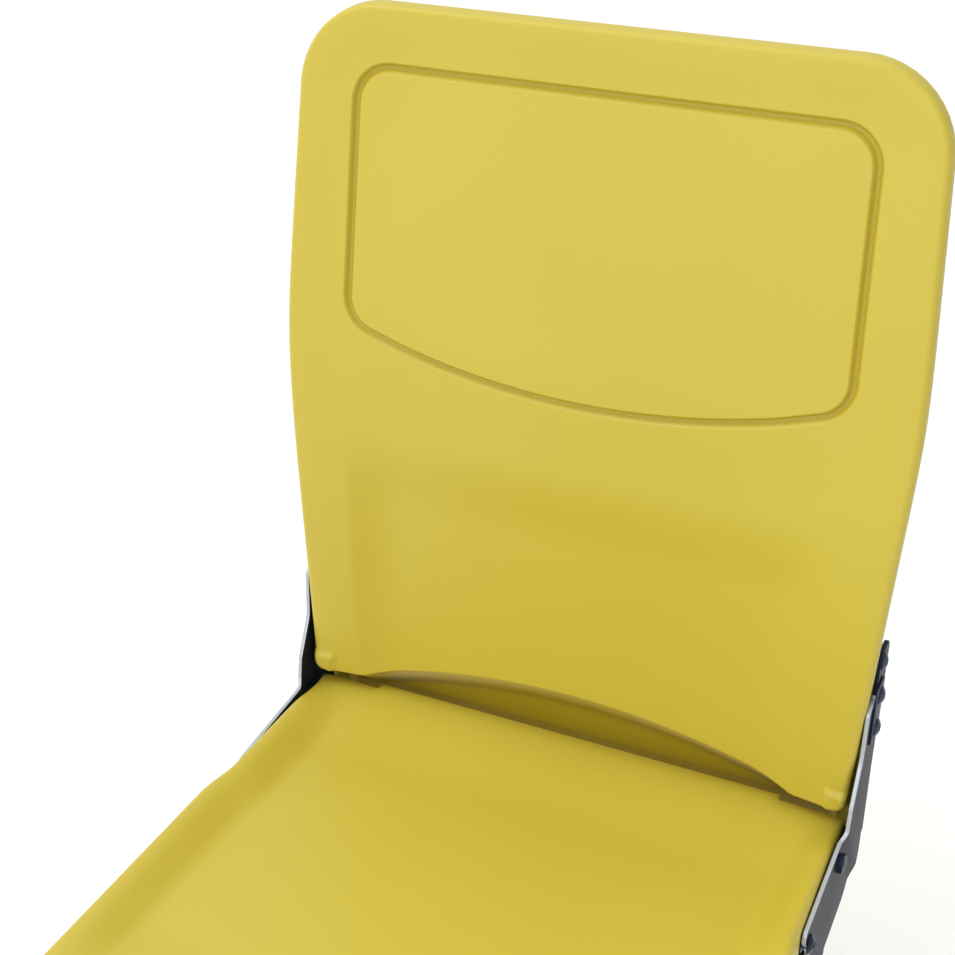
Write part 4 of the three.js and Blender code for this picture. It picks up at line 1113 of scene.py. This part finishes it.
# Backrest. One hollow moulding in the same plastic: a wide rim with rolled edges in front of a narrower
# box, a groove that frames the upper panel, a recess for the lower back between two wings, and an arched
# lower edge with a skirt behind it. Small lugs on the wings' corners stop the pan when it is tipped up.
back_height = 512
back_foot_half, back_top_half = 211.3, 213.6
back_spread, back_taper = math.radians(3.06), math.radians(3.43)
back_side_blend = 2
back_top_corner, back_foot_corner = 60, 9
lower_tilt, upper_tilt = math.radians(4.5), math.radians(10.2)
bend_height, bend_blend = 235, 25
foot_thickness, top_thickness = 44, 26
rim_depth, rim_step, rim_edge, rim_rear_edge, lower_edge = 15.5, 4, 5, 4, 1.6
wing_margin = 8
top_edge, top_edge_run = 3, 8
bowl_depth, bowl_run = 4, 45
body_edge = 3.5
wing_inner_share, recess_wall_share, wall_blend = 0.85, 0.19, 0.035
lumbar_depth, shallow_depth = 9.5, 3
lumbar_foot_share, lumbar_foot_height = 0.6, 130
crease_low, crease_high = 152, 214
shallow_low, shallow_high = 225, 290
arch_half, arch_rise, arch_land = 171, 28, 2
bevel_drop, skirt_front, skirt_drop = 32, 39.5, 45
groove_top, groove_top_half, groove_foot_half = 472, 174, 179
groove_lowest, groove_arc, groove_corner = 265.7, 531, 25
groove_half, groove_depth, groove_floor_share = 4.0, 3.6, 0.15
# The next line sets how far the painted shade reaches in the groove, how strong it is there, and how it
# fades in and how strong it is on the skirt.
groove_reach, groove_shade_share, skirt_shade_run, skirt_shade_share = 2, 0.5, 24, 0.8
lug_inner, lug_height, lug_proud, lug_bevel, lug_side, lug_foot_edge = 196, 18, 3, 5, 1.3, 5
vent_radius, vent_height, vent_reach = 4, 80, 12
back_crease = 50
land_inner, land_edge = 200, 0.8
land_corners = [(19, 3, 0), (33, -14, 2), (33, -43, 3), (38.5, -43, 2), (45.5, 124, 4), (21, 124, 4)]
screw_places = {"upper": (36, 112), "middle": (31, 87), "lower": (29, 60)}
insert_outer, insert_length, insert_radius = plate_inner - touch_gap, 20, 6
# Extra points of the mesh run in lanes along the groove, the recess's walls, the lugs and the arch.
arch_lane_past, arch_lane_step, body_outline_spacing, back_outline_spacing = 36, 4, 6, 4
body_front_shares = (1, 0.6, 0.3, 0.1, 0)
bevel_blend, inside_rim_run, groove_arc_clear_share = 0.8, 8, 1.6
bend_margin, bend_groove_gap, lug_lane_start, lug_lane_step = 0.4, 1.5, 0.6, 1.6
skirt_reach, groove_edge_share = 0.5, 1.1
lane_shares = (0.2, 0.3, 0.4, 0.5, 0.6, 0.7, 0.8, 0.9, 1, 1.1, 1.3)
wall_lane_shares = (1.012, 1.004, 0.996, 0.988, 0.975, 0.955, 0.93, 0.9, 0.865, 0.83, 0.79)
arch_lane_rises = (8, 0.05, 0, -6, -12, -18, -24, -28, -30, -32, -36)
groove_clear_share, groove_spacing = 1.4, 2.5
back_spacing, back_margin, wall_lane_spacing, lug_lane_spacing, lug_lane_gap = 4.5, 2, 4.0, 1.3, 0.2
body_spacing, body_margin, body_rear_spacing, body_rear_margin = 16, 6, 14, 5


def soft_max(a, b, blend):
    return blend * np.logaddexp(np.asarray(a) / blend, np.asarray(b) / blend)


def back_profile(height):
    bend = soft_max(height - bend_height, 0, bend_blend)
    return height * math.tan(lower_tilt) + bend * (math.tan(upper_tilt) - math.tan(lower_tilt))


def back_half(height):
    lower = back_foot_half + height * math.tan(back_spread)
    upper = back_top_half + (back_height - height) * math.tan(back_taper)
    return -soft_max(-lower, -upper, back_side_blend)


def recess(x, height):
    shallow = shallow_depth * (1 - smooth_step(shallow_low, shallow_high, height))
    foot = lumbar_foot_share + (1 - lumbar_foot_share) * smooth_step(0, lumbar_foot_height, height)
    deep = (lumbar_depth - shallow_depth) * foot * (1 - smooth_step(crease_low, crease_high, height))
    share = np.abs(x) / (back_half(height) - wing_margin)
    across = soft_max((wing_inner_share - share) / recess_wall_share, 0, wall_blend)
    return (shallow + deep) * np.sin(np.minimum(across, 1) * math.pi / 2)


def back_inset(x, height):
    """How far in a place lies from the sides and the top."""
    centre = back_height - back_top_corner
    beside = np.abs(x) - (back_half(centre) - back_top_corner)
    past = height - centre
    inset = np.minimum(back_half(height) - np.abs(x), back_height - height)
    return np.where((beside > 0) & (past > 0), back_top_corner - np.hypot(beside, past), inset)


def back_face(x, height):
    bowl = bowl_depth * smooth_step(0, bowl_run, back_inset(x, height))
    return back_profile(height) + bowl + recess(x, height)


def lug(x, height):
    """How far the small lug on each wing's corner stands out of the face."""
    aside = np.clip((np.abs(x) - lug_inner + lug_side) / (2 * lug_side), 0, 1)
    return lug_proud * aside * np.clip((lug_height - height) / lug_bevel, 0, 1)


def arch_height(x):
    radius = (arch_half**2 + arch_rise**2) / (2 * arch_rise)
    low = np.sqrt(np.maximum(radius**2 - np.asarray(x) ** 2, 0)) - (radius - arch_rise)
    return np.maximum(low, 0)


def rim_outline():
    """The backrest seen from the front, clockwise from the middle of its top."""
    lug_low = lug_height - lug_bevel
    marks = (lug_height + touch_gap, lug_height, lug_low, lug_low - touch_gap)
    run = (0, back_height, back_foot_corner, back_top_corner, back_outline_spacing)
    plain = strip_outline(back_half, *run, marks)
    raised = plain.copy()
    at_foot = (plain[:, 1] < nearly) & (np.abs(plain[:, 0]) < arch_half)
    raised[at_foot, 1] = arch_height(plain[at_foot, 0])
    return raised


def groove_path():
    """Points along the middle of the groove."""
    foot = groove_lowest + groove_arc - math.sqrt(groove_arc**2 - groove_foot_half**2)
    corners = [(groove_top_half, groove_top, groove_corner), (groove_foot_half, foot, groove_corner)]
    arc_x = np.linspace(groove_foot_half, -groove_foot_half, 25)[1:-1]
    arc = [(x, groove_lowest + groove_arc - math.sqrt(groove_arc**2 - x * x), 0) for x in arc_x]
    corners += [c for c in arc if abs(c[0]) < groove_foot_half - groove_arc_clear_share * groove_corner]
    corners += [(-groove_foot_half, foot, groove_corner), (-groove_top_half, groove_top, groove_corner)]
    return evenly(rounded(corners, plate_turn_steps), groove_spacing)


def evenly(loop, spacing):
    """A closed line with its points at even steps along it."""
    closed = np.concatenate([loop, loop[:1]])
    lengths = np.concatenate([[0], np.cumsum(np.hypot(*np.diff(closed, axis=0).T))])
    marks = np.linspace(0, lengths[-1], round(lengths[-1] / spacing), endpoint=False)
    return np.stack([np.interp(marks, lengths, closed[:, k]) for k in (0, 1)], 1)


def rim_form():
    outline = rim_outline()
    into = inward(outline)
    a, b = outline.T
    at_side = smooth_step(0, back_foot_corner, b) * (np.abs(a) > arch_half)
    at_side = np.where(b > arch_rise + 1, 1, at_side)
    at_top = smooth_step(back_height - back_top_corner, back_height - top_edge_run, b)
    rolled = rim_edge + (top_edge - rim_edge) * at_top
    at_lug = smooth_step(lug_inner, lug_inner + lug_bevel, np.abs(a)) * (1 - at_side)
    front_edge = lower_edge + (rolled - lower_edge) * at_side + (lug_foot_edge - lower_edge) * at_lug
    rear_edge = lower_edge + (rim_rear_edge - lower_edge) * at_side
    rings = []
    for share in roll_shares:
        ring = outline + into * (share * front_edge)[:, None]
        depth = back_face(*ring.T) + edge_drop(share * front_edge, front_edge) - lug(*ring.T)
        rings.append(np.column_stack([ring, depth]))
    for share in reversed(roll_shares):
        ring = outline + into * (share * rear_edge)[:, None]
        depth = back_profile(ring[:, 1]) + rim_depth - edge_drop(share * rear_edge, rear_edge)
        rings.append(np.column_stack([ring, depth]))
    path = groove_path()
    side = inward(path)
    lanes = []
    for share in (0, *lane_shares, *(-share for share in lane_shares)):
        lanes.append(np.column_stack([path + side * groove_half * share, groove_sink(share, len(path))]))
    lanes = np.concatenate(lanes)
    bends = clear_of(np.concatenate([wall_lanes(), lug_lanes()]), rings[0][:, :2], bend_margin)
    bends = bends[near(bends, path) > groove_half * groove_clear_share + bend_groove_gap]
    pattern = inside_points(rings[0][:, :2], back_spacing, back_margin)
    pattern = pattern[near(pattern, path) > groove_half * groove_clear_share + back_margin]
    pattern = np.concatenate([bends, pattern[near(pattern, bends) > back_margin]])
    inside = np.concatenate([lanes, np.column_stack([pattern, np.zeros(len(pattern))])])
    depth = back_face(inside[:, 0], inside[:, 1]) + inside[:, 2] - lug(inside[:, 0], inside[:, 1])
    front = np.column_stack([inside[:, :2], depth])
    behind = inside_points(rings[-1][:, :2], under_spacing, under_margin)
    behind = np.column_stack([behind, back_profile(behind[:, 1]) + rim_depth])
    points, faces = shell(rings, front, behind)
    return points[:, [0, 2, 1]], faces


def near(points, others):
    """The distance from each point to the nearest of the others."""
    found = []
    for start in range(0, len(points), batch):
        apart = points[start : start + batch, None, :] - others
        found.append(np.hypot(apart[..., 0], apart[..., 1]).min(1))
    return np.concatenate(found)


def wall_lanes():
    """Points along the bends of the recess's side walls."""
    found = []
    for share in wall_lane_shares:
        height = np.arange(2, shallow_high, wall_lane_spacing)
        half = share * wing_inner_share * (back_half(height) - wing_margin)
        found += [np.stack([half, height], 1), np.stack([-half, height], 1)]
    return np.concatenate(found)


def lug_lanes():
    """Points along the edges of the lugs."""
    found = []
    height = np.arange(lug_lane_start, lug_height + 1, lug_lane_spacing)
    for x in (lug_inner - lug_side, lug_inner + lug_side):
        found += [np.stack([np.full(len(height), side * x), height], 1) for side in (1, -1)]
    x = np.arange(lug_inner + lug_lane_step, back_half(0), lug_lane_step)
    lug_low = lug_height - lug_bevel
    for rise in (lug_height + lug_lane_gap, lug_height, lug_low, lug_low - lug_lane_gap):
        found += [np.stack([side * x, np.full(len(x), rise)], 1) for side in (1, -1)]
    return np.concatenate(found)


def groove_sink(share, count):
    """How deep the groove is at a share of its half width from its middle."""
    depth = groove_depth * (1 - smooth_step(groove_floor_share, 1, abs(share)))
    return np.full(count, depth)


def body_front(x, height):
    """The skirt, the bevel above it under the arched edge, and a place inside the rim above that."""
    edge = arch_height(x)
    land = back_face(x, edge) + arch_land
    slope = (skirt_front - land) / bevel_drop
    skirt = skirt_front + back_profile(height)
    beveled = -soft_max(-(land + (edge - height) * slope), -skirt, bevel_blend)
    inside_rim = back_face(x, height) + arch_land + np.clip(height - edge, 0, inside_rim_run)
    return np.where(height > edge, inside_rim, beveled)


def body_half(height):
    return back_half(height) - rim_step


def body_rear(height):
    """The flat rear face of the body, which thins towards the top."""
    thick = foot_thickness + (top_thickness - foot_thickness) * height / back_height
    return back_profile(height) + thick


def body_form():
    corners = (body_edge, back_top_corner - rim_step)
    outline = strip_outline(body_half, -skirt_drop, back_height - rim_step, *corners, body_outline_spacing)
    into = inward(outline)
    rings = []
    for share in body_front_shares:
        ring = outline + into * lower_edge * share
        depth = body_front(*ring.T) + edge_drop(lower_edge * share, lower_edge)
        rings.append(np.column_stack([ring, depth]))
    for share in reversed(roll_shares):
        ring = outline + into * body_edge * share
        depth = body_rear(ring[:, 1]) - edge_drop(body_edge * share, body_edge)
        rings.append(np.column_stack([ring, depth]))
    loop = rings[0][:, :2]
    lane_end = arch_half + arch_lane_past
    across = np.arange(-lane_end, lane_end + 1, arch_lane_step)
    lanes = [np.stack([across, arch_height(across) + rise], 1) for rise in arch_lane_rises]
    lanes = clear_of(np.concatenate(lanes), loop, 1)
    pattern = inside_points(loop, body_spacing, body_margin)
    rise = pattern[:, 1] - arch_height(pattern[:, 0])
    above, below = arch_lane_rises[0] + arch_lane_step, arch_lane_rises[-1] - arch_lane_step
    pattern = pattern[(rise > above) | (rise < below)]
    inside = np.concatenate([lanes, pattern])
    front = np.column_stack([inside, body_front(*inside.T)])
    behind = inside_points(rings[-1][:, :2], body_rear_spacing, body_rear_margin)
    behind = np.column_stack([behind, body_rear(behind[:, 1])])
    points, faces = shell(rings, front, behind)
    return points[:, [0, 2, 1]], faces


def land_form(flip):
    """A flat land on the side of the body, against which a plate is screwed."""
    outer = plate_inner - touch_gap
    points, faces = sheet_form(land_corners, land_inner, outer, edge=land_edge, order=(2, 0, 1))
    return flip(points), faces


back = mesh_piece("backrest_moulding", *rim_form(), yellow)
additions = [mesh_piece("body", *body_form(), yellow)]
additions += [mesh_piece("land", *land_form(flip), yellow) for _, flip in both_flips]
joined(back, additions)
vent_depth = float(back_profile(vent_height)) + foot_thickness
vent_run = (vent_depth - vent_reach, vent_depth + mould_cut_past)
cutters = [bar("vent", vent_radius, *vent_run, 1, (0, vent_height))]
for side in (1, -1):
    for at in screw_places.values():
        ends = side * (insert_outer - insert_length - touch_gap), side * (insert_outer + cut_past)
        cutters.append(bar("insert_hole", insert_radius + touch_gap, *ends, 0, at))
joined(back, cutters, "DIFFERENCE")
tidy(back, back_crease)
# Painted shade: a deeper, browner tone in the groove and on the skirt under the arched edge, where shade
# falls, for the plastic's material.
places = (np.array([corner.co for corner in back.data.vertices]) - np.array(drawing_zero)) / mm
x, setback, height = places.T
groove_share = near(np.column_stack([x, height]), groove_path()) / groove_half
in_front = setback < back_face(x, height) + groove_depth + groove_reach
groove_shade_mask = in_front * (1 - smooth_step(groove_floor_share, groove_edge_share, groove_share))
skirt_shade_mask = smooth_step(0, skirt_shade_run, arch_height(x) - height)
skirt_shade_mask *= np.abs(x) < arch_half + skirt_shade_run
skirt_shade_mask *= setback < skirt_front + back_profile(height) + skirt_reach
painted_shade = back.data.attributes.new("painted_shade", "FLOAT", "POINT")
groove_shade_mask *= groove_shade_share
painted_shade.data.foreach_set("value", np.maximum(groove_shade_mask, skirt_shade_share * skirt_shade_mask))
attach(back, "frame")
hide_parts("back_shell")

# Back screws, their inserts and the pads. Three round-headed screws on each side go through the plate into
# brass inserts in the back. The middle and the lower one share a thin dark plastic pad.
pad_thick, pad_half_width, pad_overlap, pad_corner, pad_edge = 1.5, 11, 10.5, 4, 0.4
insert_rib, rib_count, rib_pitch, rib_crest, rib_edge, insert_sides = 0.4, 8, 2.2, 1, 0.4, 32
navy_colour, navy_light_colour = "#18233d", "#22304f"
brass_colour, brass_light_colour = "#a5823a", "#c09c4a"
plate_outside = plate_inner + sheet_thick + touch_gap
screw_grip = 17
navy = grained_plastic("navy_polyethylene", navy_colour, navy_light_colour, 0.5)
# Turned brass: a warm metal, its gloss broken by fine marks of the lathe.
metal = {"Metallic": 1.0}
brass_grain = (1.0, 0.2, 0.1)
colours = (brass_colour, brass_light_colour)
brass = finished("turned_brass", colours, plastic_tone, 0.35, brass_grain, settings=metal)

for side_name, flip in both_flips:
    for level_name, (setback, height) in screw_places.items():
        inner = insert_outer - insert_length
        root = insert_radius - insert_rib
        ribs = [(inner, sleeve_bore), (inner, root)]
        for rib in range(rib_count):
            x = inner + 1 + rib * rib_pitch
            crest = x + rib_edge
            ribs += [(x, root), (crest, insert_radius)]
            ribs += [(crest + rib_crest, insert_radius), (crest + rib_crest + rib_edge, root)]
        ribs += [(insert_outer, root), (insert_outer, sleeve_bore)]
        points, faces = turned_form(ribs, (setback, height), insert_sides)
        insert = mesh_piece(f"brass_insert_{level_name}_{side_name}", flip(points), faces, brass)
        frame_piece(insert, "brass", f"back_insert_{level_name}_{side_name}")

    middle, lower = np.array(screw_places["middle"]), np.array(screw_places["lower"])
    run = middle - lower
    half_height = np.hypot(*run) / 2 + pad_overlap
    lean = math.atan2(-run[0], run[1])
    corners = []
    for a, b, radius in box_corners(pad_half_width, half_height, pad_corner):
        turned_a = a * math.cos(lean) - b * math.sin(lean)
        turned_b = a * math.sin(lean) + b * math.cos(lean)
        corners.append((turned_a + (middle + lower)[0] / 2, turned_b + (middle + lower)[1] / 2, radius))
    pad_outside = plate_outside + pad_thick
    points, faces = sheet_form(corners, plate_outside, pad_outside, edge=pad_edge, order=(2, 0, 1))
    pad = mesh_piece(f"screw_pad_{side_name}", flip(points), faces, navy)
    frame_piece(pad, "navy_plastic", f"clamp_pad_{side_name}")

for level_name, (setback, height) in screw_places.items():
    under = plate_outside if level_name == "upper" else plate_outside + pad_thick + touch_gap
    length = under - insert_outer + screw_grip
    at = [(under, setback, height)]
    nodes = [f"back_screw_{level_name}"]
    fasteners(f"back_screws_{level_name}", nodes, at, zinc, outward, length, "round")
